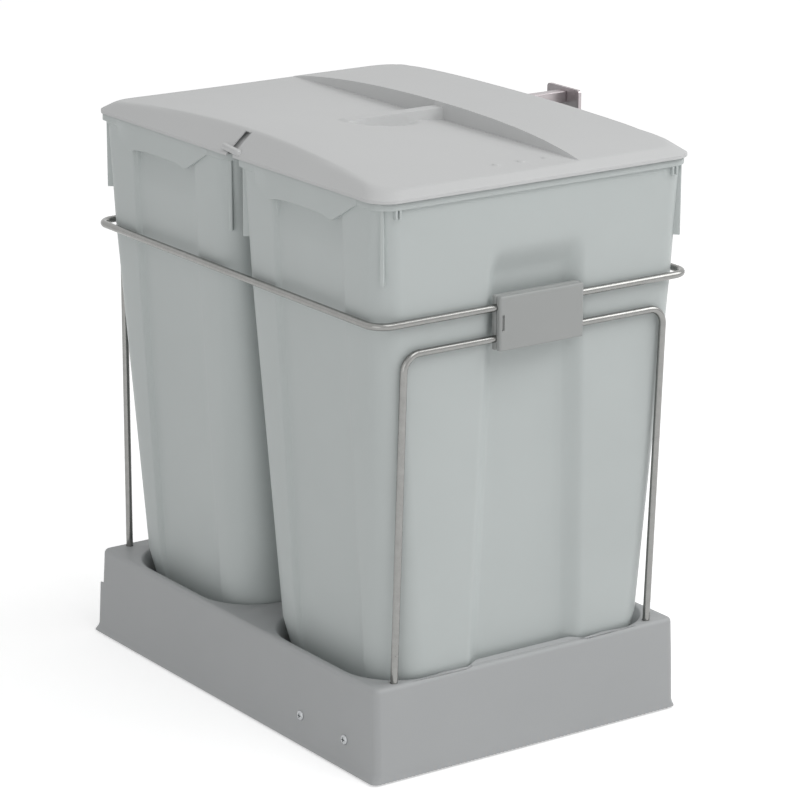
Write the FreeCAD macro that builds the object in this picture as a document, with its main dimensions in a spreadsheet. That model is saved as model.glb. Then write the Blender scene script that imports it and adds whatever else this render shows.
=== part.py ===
import FreeCAD, Part
import os
import Sketcher

# Built-in recycling bin: two buckets in a tray that pulls out on ball slides, under a lid held by an arm.
# Frame: +Z up, -Y towards the person, origin on the cabinet floor midway between the floor screw holes.

# Driving dimensions in millimetres, one sheet cell each.
SIZES = {
    # one overrun for all cuts, and the gap between lid and rims
    "overrun": 3.0,
    "rest_gap": 0.3,
    # tray
    "tray_base": 2.0,
    "tray_side_margin": 2.0,
    "tray_front_margin": 1.3,
    "tray_back_margin": 28.9,
    "tray_height": 79.2,
    "tray_corner": 6.0,
    "tray_flare": 2.8,
    "tray_flare_rise": 6.5,
    "tray_side_draft": 0.7,
    "tray_front_draft": 2.8,
    "tray_ledge": 5.5,
    "tray_ledge_rise": 46.0,
    "tray_back_draft": 4.8,
    "tray_wall": 3.0,
    "tray_lip": 1.6,
    "well_gap": 2.0,
    "well_wall": 2.4,
    "mouth_rim": 4.0,
    "mouth_corner": 46.0,
    "notch_gap": 1.6,
    # buckets
    "bucket_base": 22.0,
    "bucket_gap": 6.3,
    "bucket_middle": -13.8,
    "bucket_wall": 2.0,
    "bucket_height": 455.3,
    "rim_width": 307.0,
    "rim_depth": 209.05,
    "rim_corner": 17.0,
    "rim_tall": 6.0,
    "neck_in_x": 2.3,
    "neck_in_y": 2.2,
    "neck_corner": 18.0,
    "chest_rise": 358.0,
    "chest_in_x": 2.7,
    "chest_in_y": 3.8,
    "chest_corner": 21.0,
    "shin_rise": 66.0,
    "shin_in_x": 17.5,
    "shin_in_y": 7.5,
    "shin_corner": 32.0,
    "belly_rise": 30.0,
    "belly_in_x": 7.0,
    "belly_in_y": 6.0,
    "belly_corner": 34.0,
    "heel_rise": 10.0,
    "heel_in_x": 12.0,
    "heel_in_y": 11.5,
    "heel_corner": 38.0,
    "foot_in_x": 17.0,
    "foot_in_y": 16.0,
    "foot_corner": 40.0,
    "channel_width": 98.0,
    "channel_floor": 64.0,
    "channel_spread": 11.0,
    "channel_deep": 9.0,
    "channel_slope_start": 380.0,
    "channel_slope_end": 408.0,
    "panel_width": 100.0,
    "panel_floor": 92.0,
    "panel_deep": 3.5,
    "panel_slope_start": 428.0,
    "panel_slope_end": 444.0,
    "flap_width": 164.0,
    "flap_ear_out": 96.0,
    "flap_ear_in": 84.0,
    "flap_mid": 60.0,
    "flap_drop": 20.5,
    "flap_mid_drop": 17.0,
    "rib_tall": 59.0,
    "rib_thick": 3.0,
    "rib_inset": 2.0,
    "gusset_tall": 7.0,
    "gusset_thick": 2.0,
    "gusset_inset": 15.0,
    "gusset_spacing": 3.8,
    # wire frame
    "wire": 6.0,
    "ring_side_gap": 2.5,
    "ring_front_gap": 0.9,
    "ring_back_gap": 4.1,
    "ring_z": 380.4,
    "ring_bend": 15.0,
    "hoop_outset": 1.0,
    "bar_spacing": 25.4,
    "hoop_bend": 14.0,
    "hoop_in": 18.0,
    "front_foot_in": 11.4,
    "front_bar_in": 0.6,
    "socket_gap": 0.5,
    "socket_wall": 3.0,
    "socket_floor": 2.5,
    # snap clips
    "clip_width": 83.0,
    "clip_margin": 9.6,
    "clip_front": 6.0,
    "clip_rear": 5.0,
    "clip_latch_width": 4.0,
    "clip_latch_tall": 14.0,
    "clip_latch_deep": 1.0,
    "wire_gap": 0.05,
    # lid
    "lid_over_x": 2.5,
    "lid_over_y": 2.5,
    "lid_corner": 20.0,
    "lid_edge": 2.4,
    "lid_wall": 2.2,
    "lid_tall": 20.2,
    "lid_sag": 13.3,
    "lid_side_run": 24.0,
    "lid_end_run": 41.0,
    "lid_top_corner": 24.0,
    "step_x": 45.5,
    "dip_drop": 11.7,
    "dip_half_drop": 4.0,
    "dip_half_x": -42.0,
    "dip_start_x": -132.0,
    "dip_skim": 0.1,
    "dip_bow": 0.4,
    "ridge_start_x": -45.0,
    "ridge_width": 13.2,
    "ridge_below_crown": 3.9,
    "ridge_wall": 1.2,
    "arm_gap": 0.3,
    "pip_size": 7.0,
    "pip_proud": 0.8,
    "pip_spacing": 24.5,
    "pip_middle_x": 2.5,
    "pip_inset": 32.5,
    # lid arm
    "arm_side": 10.0,
    "arm_start_x": -42.0,
    "arm_plate_x": 184.0,
    "arm_plate_thick": 3.0,
    "arm_plate_wide": 44.0,
    "arm_plate_tall": 34.0,
    "arm_plate_over": 3.0,
    "arm_plate_round": 3.0,
    "arm_hole": 5.0,
    "arm_hole_spacing": 32.0,
    # slides and floor brackets
    "slide_length": 400.0,
    "slide_z": 26.6,
    "slide_thick": 12.7,
    "outer_tall": 44.6,
    "outer_gauge": 1.2,
    "outer_flange": 11.2,
    "ball_gap_outer": 4.0,
    "ball_gap_inner": 3.3,
    "ball_clear": 0.3,
    "middle_web_x": 5.0,
    "middle_gauge": 1.0,
    "inner_tip_x": 7.6,
    "inner_gauge": 1.2,
    "cage_gauge": 0.8,
    "cage_length": 150.0,
    "cage_web_x": 2.4,
    "cage_inner_x": 6.4,
    "cage_outer_reach": 10.6,
    "cage_inner_reach": 11.0,
    "ball_pitch": 60.0,
    "bracket_gauge": 2.0,
    "bracket_foot": 36.0,
    "floor_hole": 4.5,
    "floor_hole_in": 22.3,
    "floor_hole_y": 320.0,
    "rivet": 4.0,
    "rivet_head": 7.0,
    "rivet_head_tall": 0.8,
    "rivet_pitch": 128.0,
    # tray screws
    "screw": 4.0,
    "screw_gap": 0.2,
    "screw_head": 8.6,
    "screw_head_tall": 2.2,
    "screw_length": 12.0,
    "screw_inset": 37.0,
    "screw_spacing": 64.0,
}

doc = FreeCAD.newDocument("recycling_bin")
sheet = doc.addObject("Spreadsheet::Sheet", "sizes")
for row, (alias, number) in enumerate(SIZES.items(), 1):
    sheet.set(f"A{row}", alias)
    sheet.set(f"B{row}", str(number))
    sheet.setAlias(f"B{row}", alias)
doc.recompute()


class Size:
    """A length that carries its number and the sheet expression that gives it."""

    def __init__(self, number, text):
        self.number = number
        self.text = text

    def __add__(self, other):
        return Size(self.number + plain(other), f"({self.text} + {spelled(other)})")

    def __radd__(self, other):
        return self + other

    def __sub__(self, other):
        return Size(self.number - plain(other), f"({self.text} - {spelled(other)})")

    def __rsub__(self, other):
        return -self + other

    def __mul__(self, factor):
        return Size(self.number * plain(factor), f"({self.text} * {spelled(factor)})")

    def __rmul__(self, factor):
        return self * factor

    def __truediv__(self, factor):
        return Size(self.number / plain(factor), f"({self.text} / {spelled(factor)})")

    def __neg__(self):
        return Size(-self.number, f"(-1 * {self.text})")

    def root(self):
        return Size(self.number ** 0.5, f"sqrt({self.text})")


def plain(value):
    return value.number if isinstance(value, Size) else value


def spelled(value):
    return value.text if isinstance(value, Size) else str(value)


class Sheet:
    """Every sheet cell as a Size."""


s = Sheet()
for alias in SIZES:
    setattr(s, alias, Size(float(getattr(sheet, alias)), f"sizes.{alias}"))
ZERO = Size(0.0, "0")


# Binding and sketching helpers

def tie(thing, place, value):
    thing.setExpression(place, value.text)


def add(kind, name):
    thing = doc.addObject(kind, name)
    thing.Label = name
    return thing


def body(name):
    return add("PartDesign::Body", name)


def sketch(owner, name, role, away=ZERO):
    drawing = owner.newObject("Sketcher::SketchObject", name)
    plane = [item for item in owner.Origin.OriginFeatures if item.Role == role][0]
    drawing.AttachmentSupport = (plane, [""])
    drawing.MapMode = "FlatFace"
    tie(drawing, "AttachmentOffset.Base.z", away)
    return drawing


def drive(drawing, kind, places, value):
    index = drawing.addConstraint(Sketcher.Constraint(kind, *places, value.number))
    drawing.setExpression(f"Constraints[{index}]", value.text)


def vector(u, v):
    return FreeCAD.Vector(plain(u), plain(v), 0)


def outline(drawing, points):
    """A closed outline of straight lines through points given in sheet sizes."""
    count = len(points)
    for index in range(count):
        start = vector(*points[index])
        end = vector(*points[(index + 1) % count])
        drawing.addGeometry(Part.LineSegment(start, end), False)
    for index in range(count):
        drawing.addConstraint(Sketcher.Constraint("Coincident", index, 2, (index + 1) % count, 1))
    for index, (u, v) in enumerate(points):
        drive(drawing, "DistanceX", (-1, 1, index, 1), u)
        drive(drawing, "DistanceY", (-1, 1, index, 1), v)


def rounded(drawing, width, front, back, corner):
    """A rounded rectangle centred on the sketch's vertical axis, from front to back along it."""
    right = plain(width) / 2
    low = plain(front)
    high = plain(back)
    r = plain(corner)
    spots = [(-right + r, low), (right - r, low), (right, low + r), (right, high - r),
             (right - r, high), (-right + r, high), (-right, high - r), (-right, low + r)]
    for side in range(4):
        drawing.addGeometry(Part.LineSegment(vector(*spots[2 * side]), vector(*spots[2 * side + 1])), False)
    half = 2 ** 0.5 / 2
    centres = [(right - r, low + r, half, -half), (right - r, high - r, half, half),
               (-right + r, high - r, -half, half), (-right + r, low + r, -half, -half)]
    for side, (u, v, du, dv) in enumerate(centres):
        start = vector(*spots[2 * side + 1])
        end = vector(*spots[(2 * side + 2) % 8])
        drawing.addGeometry(Part.Arc(start, vector(u + r * du, v + r * dv), end), False)
    for side in range(4):
        drawing.addConstraint(Sketcher.Constraint("Tangent", side, 2, side + 4, 1))
        drawing.addConstraint(Sketcher.Constraint("Tangent", side + 4, 2, (side + 1) % 4, 1))
        drawing.addConstraint(Sketcher.Constraint("Horizontal" if side % 2 == 0 else "Vertical", side))
    for side in range(1, 4):
        drawing.addConstraint(Sketcher.Constraint("Equal", 4, side + 4))
    drive(drawing, "Radius", (4,), corner)
    drive(drawing, "DistanceX", (-1, 1, 1, 1), width / 2)
    drive(drawing, "DistanceX", (-1, 1, 3, 1), -(width / 2))
    drive(drawing, "DistanceY", (-1, 1, 0, 1), front)
    drive(drawing, "DistanceY", (-1, 1, 2, 1), back)


def circle(drawing, u, v, radius):
    index = drawing.addGeometry(Part.Circle(vector(u, v), FreeCAD.Vector(0, 0, 1), radius.number), False)
    drive(drawing, "DistanceX", (-1, 1, index, 3), u)
    drive(drawing, "DistanceY", (-1, 1, index, 3), v)
    drive(drawing, "Radius", (index,), radius)


def pad(owner, name, profile, length, reverse=False, both=False):
    feature = owner.newObject("PartDesign::Pad", name)
    feature.Profile = profile
    feature.SideType = "Symmetric" if both else "One side"
    feature.Reversed = reverse
    tie(feature, "Length", length)
    return feature


def pocket(owner, name, profile, length):
    feature = owner.newObject("PartDesign::Pocket", name)
    feature.Profile = profile
    feature.Reversed = True
    tie(feature, "Length", length)
    return feature


def loft(owner, name, profiles, ruled=True):
    feature = owner.newObject("PartDesign::AdditiveLoft", name)
    feature.Profile = profiles[0]
    feature.Sections = profiles[1:]
    feature.Ruled = ruled
    return feature


def block(name, low, high):
    """A box between two corners given in sheet sizes."""
    box = add("Part::Box", name)
    for place, first, last in zip(("Length", "Width", "Height"), low, high):
        tie(box, place, last - first)
    for place, first in zip("xyz", low):
        tie(box, f"Placement.Base.{place}", first)
    return box


TURNS = {"x": ((0, 1, 0), 90), "y": ((1, 0, 0), -90), "z": ((0, 0, 1), 0)}


def rod(name, axis, start, radius, length):
    """A cylinder from a start point along +x, +y or +z."""
    cylinder = add("Part::Cylinder", name)
    direction, angle = TURNS[axis]
    turn = FreeCAD.Rotation(FreeCAD.Vector(*direction), angle)
    cylinder.Placement = FreeCAD.Placement(FreeCAD.Vector(), turn)
    tie(cylinder, "Radius", radius)
    tie(cylinder, "Height", length)
    for place, first in zip("xyz", start):
        tie(cylinder, f"Placement.Base.{place}", first)
    return cylinder


def ball(name, middle, radius):
    sphere = add("Part::Sphere", name)
    tie(sphere, "Radius", radius)
    for place, first in zip("xyz", middle):
        tie(sphere, f"Placement.Base.{place}", first)
    return sphere


def cut(name, base, tool):
    result = add("Part::Cut", name)
    result.Base = base
    result.Tool = tool
    return result


def fuse(name, pieces):
    result = add("Part::MultiFuse", name)
    result.Shapes = pieces
    return result


def common(name, pieces):
    result = add("Part::MultiCommon", name)
    result.Shapes = pieces
    return result


def group(name, pieces):
    result = add("Part::Compound", name)
    result.Links = pieces
    return result


def span(side, near, far):
    """Low and high X of a stretch that is mirrored to the left where side is -1."""
    if side > 0:
        return near, far
    return -far, -near


NODES = []


def node(thing):
    NODES.append(thing)
    return thing


# Buckets: stacked sections from the rounded foot up to the neck

bucket_top = s.bucket_base + s.bucket_height
neck_width = s.rim_width - 2 * s.neck_in_x
neck_depth = s.rim_depth - 2 * s.neck_in_y
chest_width = neck_width - 2 * s.chest_in_x
chest_depth = neck_depth - 2 * s.chest_in_y
shin_width = chest_width - 2 * s.shin_in_x
shin_depth = chest_depth - 2 * s.shin_in_y
belly_width = shin_width - 2 * s.belly_in_x
belly_depth = shin_depth - 2 * s.belly_in_y
heel_width = belly_width - 2 * s.heel_in_x
heel_depth = belly_depth - 2 * s.heel_in_y
foot_width = heel_width - 2 * s.foot_in_x
foot_depth = heel_depth - 2 * s.foot_in_y
bucket_levels = [
    (ZERO, foot_width, foot_depth, s.foot_corner),
    (s.heel_rise, heel_width, heel_depth, s.heel_corner),
    (s.belly_rise, belly_width, belly_depth, s.belly_corner),
    (s.shin_rise, shin_width, shin_depth, s.shin_corner),
    (s.chest_rise, chest_width, chest_depth, s.chest_corner),
    (s.bucket_height, neck_width, neck_depth, s.neck_corner),
]
bucket_pitch = s.rim_depth + s.bucket_gap
front_middle = s.bucket_middle - bucket_pitch / 2
rear_middle = s.bucket_middle + bucket_pitch / 2


def bucket_form(name, levels, grow, lift, middle, top_extra):
    """A solid with the bucket's taper, grown outwards by grow and raised by lift."""
    form = body(name)
    profiles = []
    for index, (rise, width, depth, corner) in enumerate(levels):
        drawing = sketch(form, f"{name}_level{index}", "XY_Plane", s.bucket_base + rise + lift)
        half = depth / 2 + grow
        rounded(drawing, width + 2 * grow, middle - half, middle + half, corner + grow)
        profiles.append(drawing)
    if top_extra:
        rise, width, depth, corner = levels[-1]
        drawing = sketch(form, f"{name}_top", "XY_Plane", s.bucket_base + rise + s.overrun)
        half = depth / 2 + grow
        rounded(drawing, width + 2 * grow, middle - half, middle + half, corner + grow)
        profiles.append(drawing)
    loft(form, f"{name}_skin", profiles)
    return form


def channel_form(name, face, middle, grow):
    """The upright groove in one face of a bucket, with flared sides, a wider foot and a sloped head."""
    along_y = face in ("front", "back")
    sign = -1 if face in ("front", "left") else 1
    low_face = (shin_depth if along_y else shin_width) / 2
    high_face = (chest_depth if along_y else chest_width) / 2
    head_wide = (s.channel_width if along_y else s.panel_width) / 2 + grow
    head_floor = (s.channel_floor if along_y else s.panel_floor) / 2 + grow
    spread = s.channel_spread if along_y else ZERO
    deep = (s.channel_deep if along_y else s.panel_deep) + grow
    start = s.channel_slope_start if along_y else s.panel_slope_start
    end = s.channel_slope_end if along_y else s.panel_slope_end
    form = body(name)
    profiles = []
    per_rise = (high_face - low_face) / (s.chest_rise - s.shin_rise)
    stations = [(s.heel_rise, deep, spread), (start + grow, deep, ZERO),
                (end + grow, -s.rest_gap + grow, ZERO)]
    for index, (rise, reach, extra) in enumerate(stations):
        wide = head_wide + extra
        floor = head_floor + extra
        face_at = low_face + per_rise * (rise - s.shin_rise)
        drawing = sketch(form, f"{name}_station{index}", "XY_Plane", s.bucket_base + rise)
        out = sign * (face_at + s.channel_deep)
        skin = sign * face_at
        back = sign * (face_at - reach)
        points = [(-wide, out), (wide, out), (wide, skin), (floor, back), (-floor, back), (-wide, skin)]
        if reach is not deep:
            flat = sign * (face_at - reach)
            points = [(-wide, out), (wide, out), (wide, flat + sign * s.rest_gap), (floor, flat),
                      (-floor, flat), (-wide, flat + sign * s.rest_gap)]
        if along_y:
            outline(drawing, [(u, v + middle) for u, v in points])
        else:
            outline(drawing, [(v, u + middle) for u, v in points])
        profiles.append(drawing)
    loft(form, f"{name}_skin", profiles)
    return form


def flap(name, side, middle):
    """The grip under the rim on one narrow side, with two low ears."""
    form = body(name)
    near, far = span(side, neck_width / 2 - s.bucket_wall, s.rim_width / 2)
    drawing = sketch(form, f"{name}_outline", "YZ_Plane", near)
    top = bucket_top - s.rim_tall / 2
    rim = bucket_top - s.rim_tall
    low = rim - s.flap_drop
    mid = rim - s.flap_mid_drop
    right = [(s.flap_width / 2, top), (s.flap_width / 2, rim), (s.flap_ear_out / 2, low),
             (s.flap_ear_in / 2, low), (s.flap_mid / 2, mid)]
    left = [(-u, v) for u, v in reversed(right)]
    outline(drawing, [(middle + u, v) for u, v in right + left])
    pad(form, f"{name}_pad", drawing, far - near)
    return form


def corner_rib(name, side, end, middle):
    """An upright rib under one rim corner, standing out halfway between its two sides."""
    rib = add("Part::Box", name)
    half = 2 ** 0.5 / 2
    heading = {(1, 1): 45, (-1, 1): 135, (-1, -1): 225, (1, -1): 315}[side, end]
    turn = FreeCAD.Rotation(FreeCAD.Vector(0, 0, 1), heading)
    rib.Placement = FreeCAD.Placement(FreeCAD.Vector(), turn)
    tie(rib, "Length", s.rim_corner - s.rib_inset)
    tie(rib, "Width", s.rib_thick)
    tie(rib, "Height", s.rib_tall + s.rim_tall / 2)
    spot_x = side * (s.rim_width / 2 - s.rim_corner)
    spot_y = middle + end * (s.rim_depth / 2 - s.rim_corner)
    tie(rib, "Placement.Base.x", spot_x + end * half * s.rib_thick / 2)
    tie(rib, "Placement.Base.y", spot_y - side * half * s.rib_thick / 2)
    tie(rib, "Placement.Base.z", bucket_top - s.rim_tall - s.rib_tall)
    return rib


def make_bucket(name, middle):
    outer = bucket_form(f"{name}_outer", bucket_levels, ZERO, ZERO, middle, False)
    inner = bucket_form(f"{name}_inner", bucket_levels, -s.bucket_wall, s.bucket_wall, middle, True)
    rim = body(f"{name}_rim")
    drawing = sketch(rim, f"{name}_rim_outline", "XY_Plane", bucket_top - s.rim_tall)
    half = s.rim_depth / 2
    rounded(drawing, s.rim_width, middle - half, middle + half, s.rim_corner)
    pad(rim, f"{name}_rim_pad", drawing, s.rim_tall)
    added = [rim]
    for side in (-1, 1):
        word = "left" if side < 0 else "right"
        added.append(flap(f"{name}_flap_{word}", side, middle))
        for end in (-1, 1):
            added.append(corner_rib(f"{name}_rib_{word}_{end + 1}", side, end, middle))
            root_y, rim_y = span(end, neck_depth / 2 - s.bucket_wall, half)
            for index in (0, 1):
                edge_x = s.rim_width / 2 - s.gusset_inset - index * s.gusset_spacing
                low_x, high_x = span(side, edge_x - s.gusset_thick, edge_x)
                low = (low_x, middle + root_y, bucket_top - s.rim_tall - s.gusset_tall)
                high = (high_x, middle + rim_y, bucket_top - s.rim_tall / 2)
                added.append(block(f"{name}_gusset_{word}_{end + 1}_{index}", low, high))
    grooves = []
    swells = []
    for face in ("front", "back", "left", "right"):
        grooves.append(channel_form(f"{name}_groove_{face}", face, middle, ZERO))
        swells.append(channel_form(f"{name}_swell_{face}", face, middle, s.bucket_wall))
    grooved = cut(f"{name}_grooved", outer, fuse(f"{name}_grooves", grooves))
    whole = fuse(f"{name}_whole", [grooved] + added)
    hollow = cut(f"{name}_hollow", inner, fuse(f"{name}_swells", swells))
    return node(cut(name, whole, hollow))


make_bucket("front_bucket", front_middle)
make_bucket("rear_bucket", rear_middle)


# Tray: a drafted pan turned upside down, with two wells for the bucket feet

tray_top = s.tray_base + s.tray_height
tray_width = s.rim_width + 2 * s.tray_side_margin
tray_front = front_middle - chest_depth / 2 - s.tray_front_margin
tray_back = rear_middle + chest_depth / 2 + s.tray_back_margin
waist_width = tray_width - 2 * s.tray_flare
slide_face = waist_width / 2 - s.tray_side_draft - s.tray_wall
screw_face = slide_face + s.tray_wall
slide_front = tray_front + s.tray_front_draft + s.tray_corner
ledge_back = tray_back - s.tray_flare - s.tray_ledge / 2
inside_back = ledge_back - s.tray_back_draft - 2 * s.tray_wall

# Wire places, worked out from the buckets and the tray

ring_width = chest_width + 2 * s.ring_side_gap + s.wire
ring_front = front_middle - chest_depth / 2 - s.ring_front_gap - s.wire / 2
ring_back = rear_middle + chest_depth / 2 + s.ring_back_gap + s.wire / 2
hoop_width = chest_width - 2 * s.chest_corner + 2 * s.hoop_outset
hoop_foot_z = tray_top - s.hoop_in
hoop_top_z = s.ring_z - s.bar_spacing
front_foot = tray_front + s.front_foot_in
front_bar = ring_front + s.front_bar_in


def tray_section(owner, name, height, width, front, back):
    drawing = sketch(owner, name, "XY_Plane", height)
    rounded(drawing, width, front, back, s.tray_corner)
    return drawing


def make_tray():
    skirt = body("tray_skirt")
    mid_draft_share = 0.5
    loft(skirt, "tray_skirt_skin", [
        tray_section(skirt, "skirt_low", s.tray_base, tray_width, tray_front, tray_back),
        tray_section(skirt, "skirt_waist", s.tray_base + s.tray_flare_rise, waist_width, tray_front,
                     tray_back - s.tray_flare),
        tray_section(skirt, "skirt_ledge", s.tray_base + s.tray_ledge_rise, waist_width - s.tray_side_draft,
                     tray_front + s.tray_front_draft * mid_draft_share, ledge_back),
    ])
    top_width = waist_width - 2 * s.tray_side_draft
    top_front = tray_front + s.tray_front_draft
    top_back = ledge_back - s.tray_back_draft - s.tray_wall
    deck = body("tray_deck")
    loft(deck, "tray_deck_skin", [
        tray_section(deck, "deck_low", s.tray_base + s.tray_ledge_rise, waist_width - s.tray_side_draft,
                     tray_front + s.tray_front_draft * mid_draft_share, ledge_back - s.tray_ledge),
        tray_section(deck, "deck_edge", tray_top - s.tray_lip, top_width, top_front, top_back),
        tray_section(deck, "deck_top", tray_top, top_width - 2 * s.tray_lip, top_front + s.tray_lip,
                     top_back - s.tray_lip),
    ])
    outside = fuse("tray_outside", [skirt, deck])
    hollow = body("tray_hollow")
    drawing = sketch(hollow, "tray_hollow_outline", "XY_Plane", s.tray_base - s.overrun)
    rounded(drawing, 2 * slide_face, tray_front + s.tray_front_draft + s.tray_wall, inside_back,
            s.tray_corner - s.tray_wall)
    pad(hollow, "tray_hollow_pad", drawing, s.tray_height + s.overrun - s.tray_wall)
    ledge_hollow = sketch(hollow, "tray_ledge_outline", "XY_Plane", s.tray_base - s.overrun)
    rounded(ledge_hollow, 2 * slide_face, ZERO, ledge_back - s.tray_wall, s.tray_corner - s.tray_wall)
    pad(hollow, "tray_ledge_pad", ledge_hollow, s.tray_ledge_rise + s.overrun - s.tray_wall)
    mouth_rise = tray_top - s.bucket_base + s.overrun
    mouth_width = top_width - 2 * s.mouth_rim
    low_levels = bucket_levels[:3] + [(mouth_rise, mouth_width, shin_depth, s.mouth_corner)]
    shells = []
    wells = []
    for word, middle in (("front", front_middle), ("rear", rear_middle)):
        grow = s.well_gap + s.well_wall
        shells.append(bucket_form(f"{word}_well_shell", low_levels, grow, -s.well_wall, middle, False))
        well = bucket_form(f"{word}_well_space", low_levels, s.well_gap, ZERO, middle, False)
        keys = [channel_form(f"{word}_well_key_{face}", face, middle, -s.well_gap)
                for face in ("front", "back")]
        wells.append(cut(f"{word}_well", well, fuse(f"{word}_well_keys", keys)))
    bosses = []
    sockets = []
    lean = (front_bar - front_foot) / (hoop_top_z - hoop_foot_z)
    half_in = s.hoop_in / 2
    for word, middle_y in (("front", front_foot + lean * half_in), ("rear", ring_back)):
        for side in (-1, 1):
            place = (side * hoop_width / 2, middle_y, hoop_foot_z - s.socket_floor)
            radius = s.wire / 2 + s.socket_gap
            name = f"socket_{word}_{side + 1}"
            bosses.append(rod(f"boss_{name}", "z", place, radius + s.socket_wall,
                              s.hoop_in + s.socket_floor))
            hole = (place[0], place[1], hoop_foot_z - s.socket_gap)
            sockets.append(rod(name, "z", hole, radius, s.socket_gap + s.hoop_in + s.overrun))
    void = cut("tray_void", hollow, fuse("tray_kept", shells + bosses))
    cuts = [void] + wells + sockets
    notch_low = slide_face - s.slide_thick - s.bracket_gauge - s.bracket_foot - s.notch_gap
    notch_top = s.slide_z + s.outer_tall / 2 + s.notch_gap
    for side in (-1, 1):
        word = "left" if side < 0 else "right"
        low_x, high_x = span(side, notch_low, slide_face)
        low = (low_x, inside_back - s.tray_corner, s.tray_base - s.overrun)
        high = (high_x, tray_back + s.overrun, notch_top)
        cuts.append(block(f"rear_notch_{word}", low, high))
        for index in range(2):
            y = slide_front + s.screw_inset + index * s.screw_spacing
            hole_low, hole_high = span(side, slide_face - s.overrun, slide_face + s.screw_length)
            cuts.append(rod(f"screw_hole_{word}_{index}", "x", (hole_low, y, s.slide_z),
                            s.screw / 2 + s.screw_gap, hole_high - hole_low))
            spot_low, spot_high = span(side, screw_face, slide_face + s.screw_length)
            cuts.append(rod(f"screw_spot_{word}_{index}", "x", (spot_low, y, s.slide_z),
                            s.screw_head / 2 + s.screw_gap, spot_high - spot_low))
    return node(cut("tray", outside, fuse("tray_cuts", cuts)))


make_tray()


# Wire frame: a closed ring round the buckets and two hoops that carry it

def make_ring():
    ring = body("basket_ring")
    path = sketch(ring, "ring_path", "XY_Plane", s.ring_z)
    rounded(path, ring_width, ring_front, ring_back, s.ring_bend)
    profile = sketch(ring, "ring_profile", "YZ_Plane", -(ring_width / 2) + s.ring_bend)
    circle(profile, ring_front, s.ring_z, s.wire / 2)
    pipe = ring.newObject("PartDesign::AdditivePipe", "ring_pipe")
    pipe.Profile = profile
    pipe.Spine = (path, ["Edge1", "Edge5", "Edge2", "Edge6", "Edge3", "Edge7", "Edge4", "Edge8"])
    return node(ring)


def make_hoop(name, foot_y, bar_y):
    hoop = body(name)
    run = bar_y - foot_y
    climb = hoop_top_z - hoop_foot_z
    rise = (climb * climb + run * run).root()
    half = hoop_width / 2
    bend = s.hoop_bend
    path = sketch(hoop, f"{name}_path", "XZ_Plane")
    bulge = bend * (1 - 2 ** 0.5 / 2)
    path.addGeometry(Part.LineSegment(vector(-half, ZERO), vector(-half, rise - bend)), False)
    path.addGeometry(Part.Arc(vector(-half, rise - bend), vector(-half + bulge, rise - bulge),
                              vector(-half + bend, rise)), False)
    path.addGeometry(Part.LineSegment(vector(-half + bend, rise), vector(half - bend, rise)), False)
    path.addGeometry(Part.Arc(vector(half - bend, rise), vector(half - bulge, rise - bulge),
                              vector(half, rise - bend)), False)
    path.addGeometry(Part.LineSegment(vector(half, rise - bend), vector(half, ZERO)), False)
    for index in (0, 2):
        path.addConstraint(Sketcher.Constraint("Tangent", index, 2, index + 1, 2))
        path.addConstraint(Sketcher.Constraint("Tangent", index + 1, 1, index + 2, 1))
    path.addConstraint(Sketcher.Constraint("Vertical", 0))
    path.addConstraint(Sketcher.Constraint("Horizontal", 2))
    path.addConstraint(Sketcher.Constraint("Vertical", 4))
    path.addConstraint(Sketcher.Constraint("Equal", 1, 3))
    drive(path, "Radius", (1,), bend)
    drive(path, "DistanceX", (-1, 1, 0, 1), -half)
    drive(path, "DistanceY", (-1, 1, 0, 1), ZERO)
    drive(path, "DistanceX", (-1, 1, 4, 2), half)
    drive(path, "DistanceY", (-1, 1, 4, 2), ZERO)
    drive(path, "DistanceY", (-1, 1, 2, 1), rise)
    profile = sketch(hoop, f"{name}_profile", "XY_Plane")
    circle(profile, -half, ZERO, s.wire / 2)
    pipe = hoop.newObject("PartDesign::AdditivePipe", f"{name}_pipe")
    pipe.Profile = profile
    pipe.Spine = (path, ["Edge1", "Edge2", "Edge3", "Edge4", "Edge5"])
    hoop.Placement = FreeCAD.Placement(FreeCAD.Vector(), FreeCAD.Rotation(FreeCAD.Vector(1, 0, 0), 0))
    hoop.setExpression("Placement.Rotation.Angle", f"-1 * asin({(run / rise).text})")
    tie(hoop, "Placement.Base.y", foot_y)
    tie(hoop, "Placement.Base.z", hoop_foot_z)
    return node(hoop)


make_ring()
make_hoop("front_hoop", front_foot, front_bar)
make_hoop("rear_hoop", ring_back, ring_back)


# Snap clips: two halves pressed together over the ring bar and the hoop bar

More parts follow.
